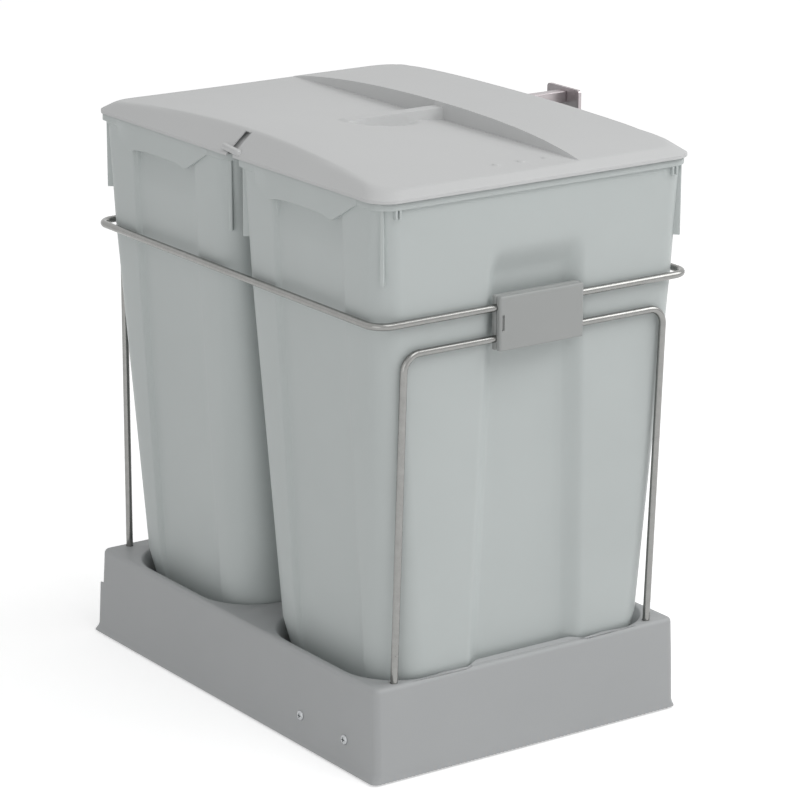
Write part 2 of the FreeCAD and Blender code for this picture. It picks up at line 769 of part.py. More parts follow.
def make_clip(word, end, ring_y, bar_y):
    grooves = []
    reach = s.clip_width + 2 * s.overrun
    for index, (y, z) in enumerate(((ring_y, s.ring_z), (bar_y, hoop_top_z))):
        start = (-(reach / 2), end * y, z)
        for half in ("cover", "back"):
            grooves.append(rod(f"{word}_{half}_groove_{index}", "x", start, s.wire / 2 + s.wire_gap, reach))
    low_z = hoop_top_z - s.clip_margin
    high_z = s.ring_z + s.clip_margin
    near, far = span(end, ring_y, ring_y + s.clip_front)
    plate = block(f"{word}_cover_block", (-(s.clip_width / 2), near, low_z), (s.clip_width / 2, far, high_z))
    latch_low = -(s.clip_width / 2)
    face = ring_y + s.clip_front
    notch_near, notch_far = span(end, face - s.clip_latch_deep, face + s.overrun)
    notch = block(f"{word}_cover_notch", (latch_low - s.overrun, notch_near, low_z + s.clip_latch_tall),
                  (latch_low + s.clip_latch_width, notch_far, low_z + 2 * s.clip_latch_tall))
    node(cut(f"{word}_clip_cover", plate, fuse(f"{word}_cover_cuts", [grooves[0], grooves[2], notch])))
    near, far = span(end, ring_y - s.clip_rear, ring_y)
    rear = block(f"{word}_back_block", (-(s.clip_width / 2), near, low_z), (s.clip_width / 2, far, high_z))
    node(cut(f"{word}_clip_back", rear, fuse(f"{word}_back_cuts", [grooves[1], grooves[3]])))


make_clip("front", -1, -ring_front, -front_bar)
make_clip("rear", 1, ring_back, ring_back)


# Lid: a sloped shell arched front to back, with a dip that ends in a leaf-shaped step

lid_base = bucket_top + s.rest_gap
crown = lid_base + s.lid_tall
lid_width = s.rim_width + 2 * s.lid_over_x
lid_half = (bucket_pitch + s.rim_depth) / 2 + s.lid_over_y
lid_middle = s.bucket_middle


def arch_tool(owner, name, role_x, middle_z, sag):
    """Everything above an arc that runs front to back at one X."""
    drawing = sketch(owner, name, "YZ_Plane", role_x)
    end_z = middle_z - sag
    left = lid_middle - lid_half
    right = lid_middle + lid_half
    top = crown + s.lid_tall
    arc = Part.Arc(vector(right, end_z), vector(lid_middle, middle_z), vector(left, end_z))
    drawing.addGeometry(arc, False)
    drawing.addGeometry(Part.LineSegment(vector(right, end_z), vector(right, top)), False)
    drawing.addGeometry(Part.LineSegment(vector(right, top), vector(left, top)), False)
    drawing.addGeometry(Part.LineSegment(vector(left, top), vector(left, end_z)), False)
    radius = (lid_half * lid_half + sag * sag) / (2 * sag)
    drawing.addConstraint(Sketcher.Constraint("Coincident", 0, 1, 1, 1))
    drawing.addConstraint(Sketcher.Constraint("Coincident", 1, 2, 2, 1))
    drawing.addConstraint(Sketcher.Constraint("Coincident", 2, 2, 3, 1))
    drawing.addConstraint(Sketcher.Constraint("Coincident", 3, 2, 0, 2))
    drive(drawing, "DistanceX", (-1, 1, 1, 1), right)
    drive(drawing, "DistanceY", (-1, 1, 1, 1), end_z)
    drive(drawing, "DistanceX", (-1, 1, 1, 2), right)
    drive(drawing, "DistanceY", (-1, 1, 1, 2), top)
    drive(drawing, "DistanceX", (-1, 1, 3, 1), left)
    drive(drawing, "DistanceY", (-1, 1, 3, 1), top)
    drive(drawing, "DistanceX", (-1, 1, 0, 2), left)
    drive(drawing, "DistanceY", (-1, 1, 0, 2), end_z)
    drive(drawing, "Radius", (0,), radius)
    return drawing


def lid_form(name, inset):
    """The lid's outside, or with an inset the space inside it."""
    shell = body(f"{name}_skirt")
    top_height = lid_base + s.lid_tall + s.overrun
    sections = [
        (lid_base - inset, ZERO, ZERO, s.lid_corner),
        (lid_base + s.lid_edge, ZERO, ZERO, s.lid_corner),
        (top_height, s.lid_side_run, s.lid_end_run, s.lid_top_corner),
    ]
    profiles = []
    for index, (height, run_x, run_y, corner) in enumerate(sections):
        drawing = sketch(shell, f"{name}_section{index}", "XY_Plane", height)
        half = lid_half - run_y - inset
        width = lid_width - 2 * (run_x + inset)
        rounded(drawing, width, lid_middle - half, lid_middle + half, corner - inset)
        profiles.append(drawing)
    loft(shell, f"{name}_skirt_skin", profiles)
    over = body(f"{name}_over")
    arch = arch_tool(over, f"{name}_arch", ZERO, crown - inset, s.lid_sag)
    pad(over, f"{name}_over_pad", arch, lid_width + s.overrun, both=True)
    dip = body(f"{name}_dip")
    half_sag = s.lid_sag - s.dip_half_drop * s.lid_sag / s.dip_drop
    stations = [
        (s.dip_start_x, crown - inset + s.dip_skim, s.lid_sag),
        (s.dip_half_x, crown - inset - s.dip_half_drop, half_sag),
        (s.step_x + inset, crown - inset - s.dip_drop, s.dip_bow),
    ]
    profiles = [arch_tool(dip, f"{name}_dip{index}", x, z, sag)
                for index, (x, z, sag) in enumerate(stations)]
    loft(dip, f"{name}_dip_skin", profiles, ruled=False)
    arched = cut(f"{name}_arched", shell, over)
    return cut(f"{name}_form", arched, dip)


def make_lid():
    outside = lid_form("lid_outside", ZERO)
    inside = lid_form("lid_inside", s.lid_wall)
    ridge_top = crown - s.ridge_below_crown
    ridge = block("lid_ridge", (s.ridge_start_x, lid_middle - s.ridge_width / 2, lid_base),
                  (s.step_x + s.lid_wall, lid_middle + s.ridge_width / 2, ridge_top))
    pips = []
    pip_y = lid_middle - lid_half + s.pip_inset
    pip_base = lid_base + s.lid_edge
    for index in (-1, 0, 1):
        place = (s.pip_middle_x + index * s.pip_spacing, pip_y, pip_base)
        pips.append(rod(f"lid_pip_{index + 1}", "z", place, s.pip_size / 2, s.lid_tall))
    raised = lid_form("lid_raised", -s.pip_proud)
    pips = common("lid_pips", [fuse("lid_pip_rods", pips), raised])
    shell = cut("lid_shell", fuse("lid_skin", [outside, pips]), inside)
    whole = fuse("lid_whole", [shell, ridge])
    half_way = s.ridge_width / 2 - s.ridge_wall
    low = lid_base - s.overrun
    high = ridge_top - s.ridge_wall
    slot_end = -(lid_width / 2) + s.lid_side_run + s.lid_wall
    tunnel = block("lid_tunnel", (s.ridge_start_x + s.ridge_wall, lid_middle - half_way, low),
                   (lid_width, lid_middle + half_way, high))
    slot = block("lid_slot", (-lid_width, lid_middle - half_way, low),
                 (slot_end, lid_middle + half_way, high))
    return node(cut("lid", whole, fuse("lid_cuts", [tunnel, slot])))


make_lid()


# Lid arm: a square bar welded to a plate that screws to the cabinet side

def make_arm():
    top = crown - s.ridge_below_crown - s.ridge_wall - s.arm_gap
    half = s.arm_side / 2
    node(block("lid_arm", (s.arm_start_x, lid_middle - half, top - s.arm_side),
               (s.arm_plate_x, lid_middle + half, top)))
    plate_top = top + s.arm_plate_over
    plate = body("arm_plate")
    drawing = sketch(plate, "arm_plate_outline", "YZ_Plane", s.arm_plate_x)
    low = plate_top - s.arm_plate_tall
    tie(drawing, "AttachmentOffset.Base.x", lid_middle)
    rounded(drawing, s.arm_plate_wide, low, plate_top, s.arm_plate_round)
    pad(plate, "arm_plate_pad", drawing, s.arm_plate_thick)
    holes = sketch(plate, "arm_plate_holes", "YZ_Plane", s.arm_plate_x - s.overrun)
    hole_z = low + s.arm_hole * 2
    for end in (-1, 1):
        circle(holes, lid_middle + end * s.arm_hole_spacing / 2, hole_z, s.arm_hole / 2)
    pocket(plate, "arm_plate_bore", holes, s.arm_plate_thick + 2 * s.overrun)
    node(plate)


make_arm()


# Ball slides on floor brackets, one on each side inside the tray

slide_back = slide_front + s.slide_length
slide_middle = (slide_front + slide_back) / 2
outer_x = slide_face - s.slide_thick
outer_half = s.outer_tall / 2
middle_half = outer_half - s.outer_gauge - s.ball_gap_outer
inner_half = middle_half - s.middle_gauge - s.ball_gap_inner


def rail(name, side, points):
    """A channel profile in X and Z, drawn for the right side, along the slide's length."""
    form = body(name)
    drawing = sketch(form, f"{name}_profile", "XZ_Plane", -slide_front)
    outline(drawing, [(side * x, z) for x, z in points])
    pad(form, f"{name}_pad", drawing, s.slide_length, reverse=True)
    return form


def channel(web_x, tip_x, half, gauge, web_end):
    """A channel section whose web stands at web_x and whose flanges reach to tip_x."""
    inner = web_x + gauge * web_end
    z = s.slide_z
    return [(web_x, z - half), (tip_x, z - half), (tip_x, z - half + gauge), (inner, z - half + gauge),
            (inner, z + half - gauge), (tip_x, z + half - gauge), (tip_x, z + half), (web_x, z + half)]


def cage(name, side, web_x, reach, half, radius):
    """A ball cage: two strips joined by a web, with balls held in the strips."""
    low_y = slide_middle - s.cage_length / 2
    high_y = slide_middle + s.cage_length / 2
    pieces = []
    web_low, web_high = span(side, outer_x + web_x, outer_x + web_x + s.cage_gauge)
    pieces.append(block(f"{name}_web", (web_low, low_y, s.slide_z - half),
                        (web_high, high_y, s.slide_z + half)))
    strip_low, strip_high = span(side, outer_x + web_x, outer_x + reach)
    for level in (-1, 1):
        z = s.slide_z + level * half
        pieces.append(block(f"{name}_strip_{level + 1}", (strip_low, low_y, z - s.cage_gauge / 2),
                            (strip_high, high_y, z + s.cage_gauge / 2)))
        for index in (-1, 1):
            ball_x = side * (outer_x + reach - radius - s.cage_gauge)
            middle = (ball_x, slide_middle + index * s.ball_pitch, z)
            pieces.append(ball(f"{name}_ball_{level + 1}_{index + 1}", middle, radius))
    return node(fuse(name, pieces))


def make_slide(side):
    word = "left" if side < 0 else "right"
    rivet_spots = [slide_middle + index * s.rivet_pitch for index in (-1, 0, 1)]
    outer = rail(f"outer_rail_{word}", side,
                 channel(outer_x, outer_x + s.outer_flange, outer_half, s.outer_gauge, 1))
    web_low, web_high = span(side, outer_x - s.overrun, outer_x + s.outer_gauge + s.overrun)
    outer_holes = [rod(f"outer_hole_{word}_{index}", "x", (web_low, y, s.slide_z), s.rivet / 2,
                       web_high - web_low) for index, y in enumerate(rivet_spots)]
    node(cut(f"slide_outer_{word}", outer, fuse(f"outer_holes_{word}", outer_holes)))
    middle_x = outer_x + s.middle_web_x
    node(rail(f"slide_middle_{word}", side,
              channel(middle_x, outer_x + s.outer_flange, middle_half, s.middle_gauge, 1)))
    inner = rail(f"inner_rail_{word}", side,
                 channel(slide_face, outer_x + s.inner_tip_x, inner_half, s.inner_gauge, -1))
    inner_low, inner_high = span(side, slide_face - s.inner_gauge - s.overrun, slide_face + s.overrun)
    inner_holes = [rod(f"inner_hole_{word}_{index}", "x",
                       (inner_low, slide_front + s.screw_inset + index * s.screw_spacing, s.slide_z),
                       s.screw / 2 + s.screw_gap, inner_high - inner_low) for index in range(2)]
    node(cut(f"slide_inner_{word}", inner, fuse(f"inner_holes_{word}", inner_holes)))
    outer_row = (outer_half - s.outer_gauge + middle_half) / 2
    inner_row = (middle_half - s.middle_gauge + inner_half) / 2
    cage(f"outer_cage_{word}", side, s.cage_web_x, s.cage_outer_reach, outer_row,
         s.ball_gap_outer / 2 - s.ball_clear)
    cage(f"inner_cage_{word}", side, s.cage_inner_x, s.cage_inner_reach, inner_row,
         s.ball_gap_inner / 2 - s.ball_clear)
    web_x = outer_x - s.bracket_gauge
    foot_x = web_x - s.bracket_foot
    top = s.slide_z + outer_half
    plate = rail(f"bracket_plate_{word}", side, [
        (foot_x, ZERO), (outer_x, ZERO), (outer_x, top), (web_x, top),
        (web_x, s.bracket_gauge), (foot_x, s.bracket_gauge)])
    holes = []
    low_x, high_x = span(side, web_x - s.overrun, outer_x + s.overrun)
    for index, y in enumerate(rivet_spots):
        holes.append(rod(f"web_hole_{word}_{index}", "x", (low_x, y, s.slide_z), s.rivet / 2,
                         high_x - low_x))
    for end in (-1, 1):
        place = (side * (web_x - s.floor_hole_in), end * s.floor_hole_y / 2, -s.overrun)
        holes.append(rod(f"floor_hole_{word}_{end + 1}", "z", place, s.floor_hole / 2,
                         s.bracket_gauge + 2 * s.overrun))
    node(cut(f"floor_bracket_{word}", plate, fuse(f"bracket_holes_{word}", holes)))
    rivets = []
    for index, y in enumerate(rivet_spots):
        body_low, body_high = span(side, web_x, outer_x + s.outer_gauge)
        near_low, near_high = span(side, web_x - s.rivet_head_tall, web_x)
        far_low, far_high = span(side, outer_x + s.outer_gauge, outer_x + s.outer_gauge + s.rivet_head_tall)
        head = s.rivet_head / 2
        shank = rod(f"rivet_shank_{word}_{index}", "x", (body_low, y, s.slide_z), s.rivet / 2,
                    body_high - body_low)
        near = rod(f"rivet_near_{word}_{index}", "x", (near_low, y, s.slide_z), head, near_high - near_low)
        far = rod(f"rivet_far_{word}_{index}", "x", (far_low, y, s.slide_z), head, far_high - far_low)
        rivets.append(fuse(f"rivet_{word}_{index}", [shank, near, far]))
    node(group(f"bracket_rivets_{word}", rivets))
    screws = []
    for index in range(2):
        y = slide_front + s.screw_inset + index * s.screw_spacing
        head_low, head_high = span(side, screw_face, screw_face + s.screw_head_tall)
        shank_low, shank_high = span(side, screw_face - s.screw_length / 2, screw_face)
        shank = rod(f"screw_shank_{word}_{index}", "x", (shank_low, y, s.slide_z), s.screw / 2,
                    shank_high - shank_low)
        cap = rod(f"screw_cap_{word}_{index}", "x", (head_low, y, s.slide_z), s.screw_head / 2,
                  head_high - head_low)
        screws.append(fuse(f"screw_{word}_{index}", [shank, cap]))
    node(group(f"tray_screws_{word}", screws))


for hand in (-1, 1):
    make_slide(hand)


# Recompute, check every object, then write one file per node

doc.recompute()
failed = [item.Name for item in doc.Objects if "Invalid" in item.State or "Error" in item.State]
if failed:
    raise RuntimeError(f"objects that failed: {failed}")
for piece in NODES:
    if piece.Shape.isNull() or not piece.Shape.isValid():
        raise RuntimeError(f"bad shape: {piece.Label}")

os.makedirs("parts", exist_ok=True)
for piece in NODES:
    piece.Shape.exportStep(os.path.join("parts", f"{piece.Label}.step"))
    box = piece.Shape.BoundBox
    print(f"{piece.Label}: {len(piece.Shape.Solids)} solids, {piece.Shape.Volume / 1000:.1f} cm3, "
          f"x {box.XMin:.1f}..{box.XMax:.1f} y {box.YMin:.1f}..{box.YMax:.1f} "
          f"z {box.ZMin:.1f}..{box.ZMax:.1f}")
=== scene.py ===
import math

import bmesh
import bpy
import numpy as np
from mathutils import Matrix, Vector
from mathutils.geometry import tessellate_polygon


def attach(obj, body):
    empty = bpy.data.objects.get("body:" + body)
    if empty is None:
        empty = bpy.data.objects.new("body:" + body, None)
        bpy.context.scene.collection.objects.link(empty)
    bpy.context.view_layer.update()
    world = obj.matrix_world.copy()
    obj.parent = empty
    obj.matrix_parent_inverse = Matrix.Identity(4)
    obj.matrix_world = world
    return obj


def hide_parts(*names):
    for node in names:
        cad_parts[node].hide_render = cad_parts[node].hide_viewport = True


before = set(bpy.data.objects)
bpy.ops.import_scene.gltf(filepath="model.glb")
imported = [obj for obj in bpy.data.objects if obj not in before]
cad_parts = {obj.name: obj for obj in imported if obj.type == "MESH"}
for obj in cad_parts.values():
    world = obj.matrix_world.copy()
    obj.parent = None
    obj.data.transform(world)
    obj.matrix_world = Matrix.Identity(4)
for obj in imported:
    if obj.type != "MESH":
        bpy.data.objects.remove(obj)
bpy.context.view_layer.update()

# Built-in recycling bin: two buckets in a pull-out tray, a wire basket round them and a lid on an arm.
# Lengths are millimetres in the tables and metres on the meshes.
mm = 0.001
scene = bpy.context.scene
scene.view_settings.view_transform = "Standard"

# Camera at the photograph's view
cameraView = {
    "azimuth": -35.05,
    "elevation": 16.57,
    "roll": -0.16,
    "target": (0, 0, 250.6),
    "shiftRight": -19.87,
    "shiftUp": 7.21,
    "distance": 2999.7,
    "lens": 158.8,
    "sensor": 36.0,
}


def placeCamera(view):
    azimuth = math.radians(view["azimuth"])
    elevation = math.radians(view["elevation"])
    right = Vector((math.cos(azimuth), math.sin(azimuth), 0))
    back = Vector((math.sin(azimuth) * math.cos(elevation), -math.cos(azimuth) * math.cos(elevation),
                   math.sin(elevation)))
    turn = Matrix.Rotation(math.radians(view["roll"]), 3, "Z") @ Matrix((right, back.cross(right), back))
    away = Vector((-view["shiftRight"], -view["shiftUp"], view["distance"]))
    spot = Vector(view["target"]) + turn.transposed() @ away
    data = bpy.data.cameras.new("photoCamera")
    data.lens = view["lens"]
    data.sensor_width = view["sensor"]
    camera = bpy.data.objects.new("photoCamera", data)
    camera.matrix_world = Matrix.Translation(spot * mm) @ turn.transposed().to_4x4()
    scene.collection.objects.link(camera)
    scene.camera = camera


placeCamera(cameraView)
print("camera set")


# Finishes

def linear(text):
    channels = [int(text[index:index + 2], 16) / 255 for index in (1, 3, 5)]
    return [c / 12.92 if c <= 0.04045 else ((c + 0.055) / 1.055) ** 2.4 for c in channels] + [1.0]


def addNode(tree, kind, settings=None, links=None):
    node = tree.nodes.new(kind)
    for name, value in (settings or {}).items():
        if isinstance(name, int) or name in node.inputs:
            node.inputs[name].default_value = value
        else:
            setattr(node, name, value)
    for name, source in (links or {}).items():
        tree.links.new(source, node.inputs[name])
    return node


def newFinish(name):
    material = bpy.data.materials.new(name)
    material.use_nodes = True
    material.node_tree.nodes.clear()
    return material, material.node_tree


def perMetre(sizeMm):
    return 1 / (sizeMm * mm)


# Sizes of the patterns in millimetres, and how far they move the gloss and the surface
finishSettings = {
    "cloudMm": 90,
    "grainGloss": 0.06,
    "markGloss": (0.07, 0.09),
    "markLift": 0.02,
}


# Moulded plastic: a faint cloud in the tone from the melt, and a fine spark-eroded grain that
# breaks up the highlight. The grain is really about 0.1 mm and is drawn coarser so that it shows.
def mouldedPlastic(name, tone, darker, roughness, grainMm, grainLift):
    material, tree = newFinish(name)
    coords = addNode(tree, "ShaderNodeTexCoord").outputs["Object"]
    settings = finishSettings
    cloud = addNode(tree, "ShaderNodeTexNoise", {"Scale": perMetre(settings["cloudMm"]), "Detail": 3.0},
                    {"Vector": coords})
    shade = addNode(tree, "ShaderNodeMix", {"data_type": "RGBA", 6: linear(tone), 7: linear(darker)},
                    {0: cloud.outputs["Fac"]})
    grain = addNode(tree, "ShaderNodeTexNoise", {"Scale": perMetre(grainMm), "Detail": 2.0},
                    {"Vector": coords})
    spread = settings["grainGloss"]
    gloss = addNode(tree, "ShaderNodeMapRange",
                    {"To Min": roughness - spread, "To Max": roughness + spread},
                    {"Value": grain.outputs["Fac"]})
    lift = addNode(tree, "ShaderNodeBump", {"Strength": 0.25, "Distance": grainLift * mm},
                   {"Height": grain.outputs["Fac"]})
    shader = addNode(tree, "ShaderNodeBsdfPrincipled", {"IOR": 1.49},
                     {"Base Color": shade.outputs[2], "Roughness": gloss.outputs["Result"],
                      "Normal": lift.outputs["Normal"]})
    addNode(tree, "ShaderNodeOutputMaterial", links={"Surface": shader.outputs["BSDF"]})
    return material


# Plated steel: a metal gloss with long faint drawing or rolling marks along one axis.
def platedSteel(name, tone, darker, roughness, markMm, stretch):
    material, tree = newFinish(name)
    coords = addNode(tree, "ShaderNodeTexCoord").outputs["Object"]
    settings = finishSettings
    along = addNode(tree, "ShaderNodeMapping", {"Scale": stretch}, {"Vector": coords})
    marks = addNode(tree, "ShaderNodeTexNoise", {"Scale": perMetre(markMm), "Detail": 4.0},
                    {"Vector": along.outputs["Vector"]})
    shade = addNode(tree, "ShaderNodeMix", {"data_type": "RGBA", 6: linear(tone), 7: linear(darker)},
                    {0: marks.outputs["Fac"]})
    less, more = settings["markGloss"]
    gloss = addNode(tree, "ShaderNodeMapRange", {"To Min": roughness - less, "To Max": roughness + more},
                    {"Value": marks.outputs["Fac"]})
    lift = addNode(tree, "ShaderNodeBump", {"Strength": 0.12, "Distance": settings["markLift"] * mm},
                   {"Height": marks.outputs["Fac"]})
    shader = addNode(tree, "ShaderNodeBsdfPrincipled", {"Metallic": 1.0},
                     {"Base Color": shade.outputs[2], "Roughness": gloss.outputs["Result"],
                      "Normal": lift.outputs["Normal"]})
    addNode(tree, "ShaderNodeOutputMaterial", links={"Surface": shader.outputs["BSDF"]})
    return material


# Name, tone, darker tone, roughness, then size and lift of the grain or size and stretch of the marks
finishes = {
    "bucket": mouldedPlastic("mouldedPolypropyleneGrey", "#C6CCCB", "#BFC5C4", 0.44, 1.2, 0.05),
    "lid": mouldedPlastic("mouldedAbsPaleGrey", "#D2D3D3", "#CDCECE", 0.64, 1.0, 0.04),
    "tray": mouldedPlastic("mouldedPolypropyleneMidGrey", "#B2B4B5", "#ACAEAF", 0.50, 1.4, 0.06),
    "clip": mouldedPlastic("mouldedNylonMidGrey", "#A8AAA9", "#A3A5A4", 0.48, 1.0, 0.04),
    "wire": platedSteel("nickelPlatedWire", "#9A9A98", "#888886", 0.22, 6.0, (1.0, 1.0, 1.0)),
    "arm": platedSteel("satinNickelBar", "#BDB6B8", "#ACA5A7", 0.34, 3.0, (0.06, 1.0, 1.0)),
    "slide": platedSteel("zincPlatedStrip", "#BFC3C6", "#A5AAAE", 0.32, 4.0, (1.0, 0.04, 1.0)),
    "cage": platedSteel("bareSteelCage", "#9A9C9E", "#7E8184", 0.38, 2.0, (1.0, 0.2, 1.0)),
    "fastener": platedSteel("zincPlatedScrew", "#C6C8C9", "#9DA0A2", 0.28, 1.0, (1.0, 1.0, 1.0)),
}
print("finishes made:", len(finishes))


# Meshes: each builder gives points in millimetres and faces as tuples of indices

def joinShells(shells):
    points = []
    faces = []
    for shellPoints, shellFaces in shells:
        start = len(points)
        points.extend(shellPoints)
        faces.extend([tuple(index + start for index in face) for face in shellFaces])
    return points, faces


def shellObject(name, shells, finish, sharpAngle=32, outward=True, weldMm=0.002):
    points, faces = joinShells(shells)
    mesh = bpy.data.meshes.new(name)
    mesh.from_pydata([tuple(float(c) * mm for c in point) for point in points], [], faces)
    if outward:
        work = bmesh.new()
        work.from_mesh(mesh)
        bmesh.ops.remove_doubles(work, verts=work.verts, dist=weldMm * mm)
        bmesh.ops.recalc_face_normals(work, faces=work.faces)
        work.to_mesh(mesh)
        work.free()
    return dressObject(name, mesh, finish, sharpAngle)


def dressObject(name, mesh, finish, sharpAngle):
    mesh.polygons.foreach_set("use_smooth", [True] * len(mesh.polygons))
    mesh.set_sharp_from_angle(angle=math.radians(sharpAngle))
    mesh.materials.clear()
    mesh.materials.append(finishes[finish])
    item = bpy.data.objects.new(name, mesh)
    scene.collection.objects.link(item)
    return item


def bakeModifiers(item):
    depsgraph = bpy.context.evaluated_depsgraph_get()
    mesh = bpy.data.meshes.new_from_object(item.evaluated_get(depsgraph))
    item.modifiers.clear()
    item.data = mesh
    return item


def thicken(item, wallMm, sharpAngle):
    made = item.modifiers.new("wall", "SOLIDIFY")
    made.thickness = wallMm * mm
    made.offset = -1.0
    bakeModifiers(item)
    item.data.set_sharp_from_angle(angle=math.radians(sharpAngle))


def carve(item, shell):
    cutter = shellObject("cutter", [shell], "clip")
    made = item.modifiers.new("hollow", "BOOLEAN")
    made.operation = "DIFFERENCE"
    made.object = cutter
    bakeModifiers(item)
    bpy.data.objects.remove(cutter)


# Faces wider than the given area stay flat, so that only the rounded edges are smooth
def flattenWide(item, areaMm, sharpAngle=40):
    item.data.set_sharp_from_angle(angle=math.radians(sharpAngle))
    for face in item.data.polygons:
        face.use_smooth = face.area < areaMm * mm * mm


def bridgeRings(rings, capStart=True, capEnd=True):
    count = len(rings[0])
    points = [point for ring in rings for point in ring]
    faces = []
    for level in range(len(rings) - 1):
        low = level * count
        for index in range(count):
            after = (index + 1) % count
            faces.append((low + index, low + after, low + count + after, low + count + index))
    if capStart:
        faces.append(tuple(reversed(range(count))))
    if capEnd:
        faces.append(tuple(range(len(points) - count, len(points))))
    return points, faces


def bevelBlock(low, high, bevel, segments=3):
    work = bmesh.new()
    bmesh.ops.create_cube(work, size=1.0)
    for vert in work.verts:
        vert.co = Vector([low[i] + (vert.co[i] + 0.5) * (high[i] - low[i]) for i in range(3)])
    bmesh.ops.bevel(work, geom=work.edges[:], offset=bevel, segments=segments, profile=0.5, affect="EDGES")
    work.verts.index_update()
    points = [tuple(vert.co) for vert in work.verts]
    faces = [tuple(vert.index for vert in face.verts) for face in work.faces]
    work.free()
    return points, faces


# Quarter circles at the four corners of an outline, in the order in which it is walked round
def cornerArcs(left, right, front, back, corner, steps):
    arc = [(corner * math.cos(t), corner * math.sin(t)) for t in np.linspace(0, math.pi / 2, steps)]
    left, right, front, back = left + corner, right - corner, front + corner, back - corner
    return ([(left - c, front - s) for c, s in arc], [(right + s, front - c) for c, s in arc],
            [(right + c, back + s) for c, s in arc], [(left - s, back + c) for c, s in arc])


def handOver(item, body, slot, *nodes):
    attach(item, body)
    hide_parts(*nodes)


def interpRow(value, rows):
    keys = [row[0] for row in rows]
    return [float(np.interp(value, keys, [row[column] for row in rows])) for column in (1, 2, 3)]


def ramp(value, start, end):
    share = np.clip((np.asarray(value, float) - start) / (end - start), 0, 1)
    return share * share * (3 - 2 * share)


# Buckets
bucketSettings = {
    "base": 22.0,
    "middles": {"front_bucket": -121.475, "rear_bucket": 93.875},
    "height": 455.3,
    "wall": 2.0,
    # rise, width, depth, corner
    "levels": ((0, 190, 115.05, 40), (10, 224, 147.05, 38), (30, 248, 170.05, 34), (66, 262, 182.05, 32),
               (358, 297, 197.05, 21), (455.3, 302.4, 204.65, 18)),
    "rim": (306.7, 209.05, 17),
    "rimHalf": 153.5,
    "rimTall": 6.0,
    "rimRound": 0.9,
    # outer half width, floor half width, gain in both at the foot, depth, start and end of the sloped head
    "groove": (49, 32, 11, 9, 380, 408),
    "panel": (50, 45, 0, 4.6, 430, 445),
    # extra depth of the side panels behind the grips, and the rises between which it comes in
    "pocket": (3.6, 402, 430),
    "footRise": 10,
    "columnsOnFloor": 4,
    "columnsOnFlank": 8,
    "columnsBeyond": (2.0, 6.0),
    "cornerSteps": 12,
    "outsideRises": (0, 3, 6, 10, 15, 22, 30, 42, 54, 66, 110, 160, 210, 260, 310, 345, 358, 368,
                     374, 378, 382, 386, 390, 394, 398, 402, 406, 410, 416, 424, 428, 431, 434, 437,
                     440, 443, 446),
    # distance along the rim from its middle, drop of the grip's lower edge
    "grip": ((-73, 0.0), (-70, 0.3), (-62, 4.8), (-54, 9.4), (-46, 13.9), (-40, 17.2), (-36.5, 18.4),
             (-33, 17.9), (-28, 16.6), (-22, 15.5), (-17, 15.2), (10, 15.2), (25, 15.6), (36, 16.4),
             (42, 17.0), (47, 18.5), (51, 19.4), (55, 18.0), (64, 13.6), (79, 7.6), (88, 2.4), (94, 0.0)),
    "gripColumns": 131,
    # steps over which the lower edge is averaged, to round its corners
    "gripSmooth": (-2, -1, 0, 1, 2),
    "gripEdge": 0.5,
    "gripBrow": 1.0,
    # where the grip starts to thin out towards the wall behind, and by how much
    "gripFade": (50, 88, 1.5),
    "gripThick": 1.9,
    "ribTall": 59.0,
    "ribThick": 3.0,
    # start and end of the rib from the rim's corner centre, at its foot and at its head
    "ribReach": ((8.6, 15.0), (12.4, 15.0)),
    "ribEdge": 0.6,
    "gussetInset": 15.0,
    "gussetSpacing": 3.8,
    "gussetThick": 2.0,
    "gussetTall": 7.0,
    "gussetEdge": 0.3,
    # how far a gusset sinks into the wall, and stays behind the rim
    "gussetSink": 1.6,
    "gussetShy": 0.2,
    # how far ribs and gussets run up into the rim
    "overlap": 1.0,
}


def hollowSpan(rise, form, grow, settings):
    wide, floor, gain = form[:3]
    start = form[4]
    gain = gain * min(1.0, max(0.0, (start - rise) / (start - settings["footRise"])))
    return wide + gain + grow, floor + gain + grow


def hollowDepth(rise, along, face, form, grow, settings):
    wide, floor = hollowSpan(rise, form, grow, settings)
    deep, start, end = form[3:]
    shin, chest = settings["levels"][3], settings["levels"][4]
    column = 2 if face == "wide" else 1
    perRise = (chest[column] - shin[column]) / (chest[0] - shin[0]) / 2
    plane = shin[column] / 2 + perRise * (rise - shin[0])
    actual = interpRow(rise, settings["levels"])[column - 1] / 2
    depth = max(0.0, deep - grow - max(0.0, plane - actual))
    if face == "narrow":
        depth += settings["pocket"][0] * float(ramp(rise, *settings["pocket"][1:]))
    head = 1 - float(ramp(rise, start, end))
    return depth * head * (1 - ramp(np.abs(along), floor, wide))


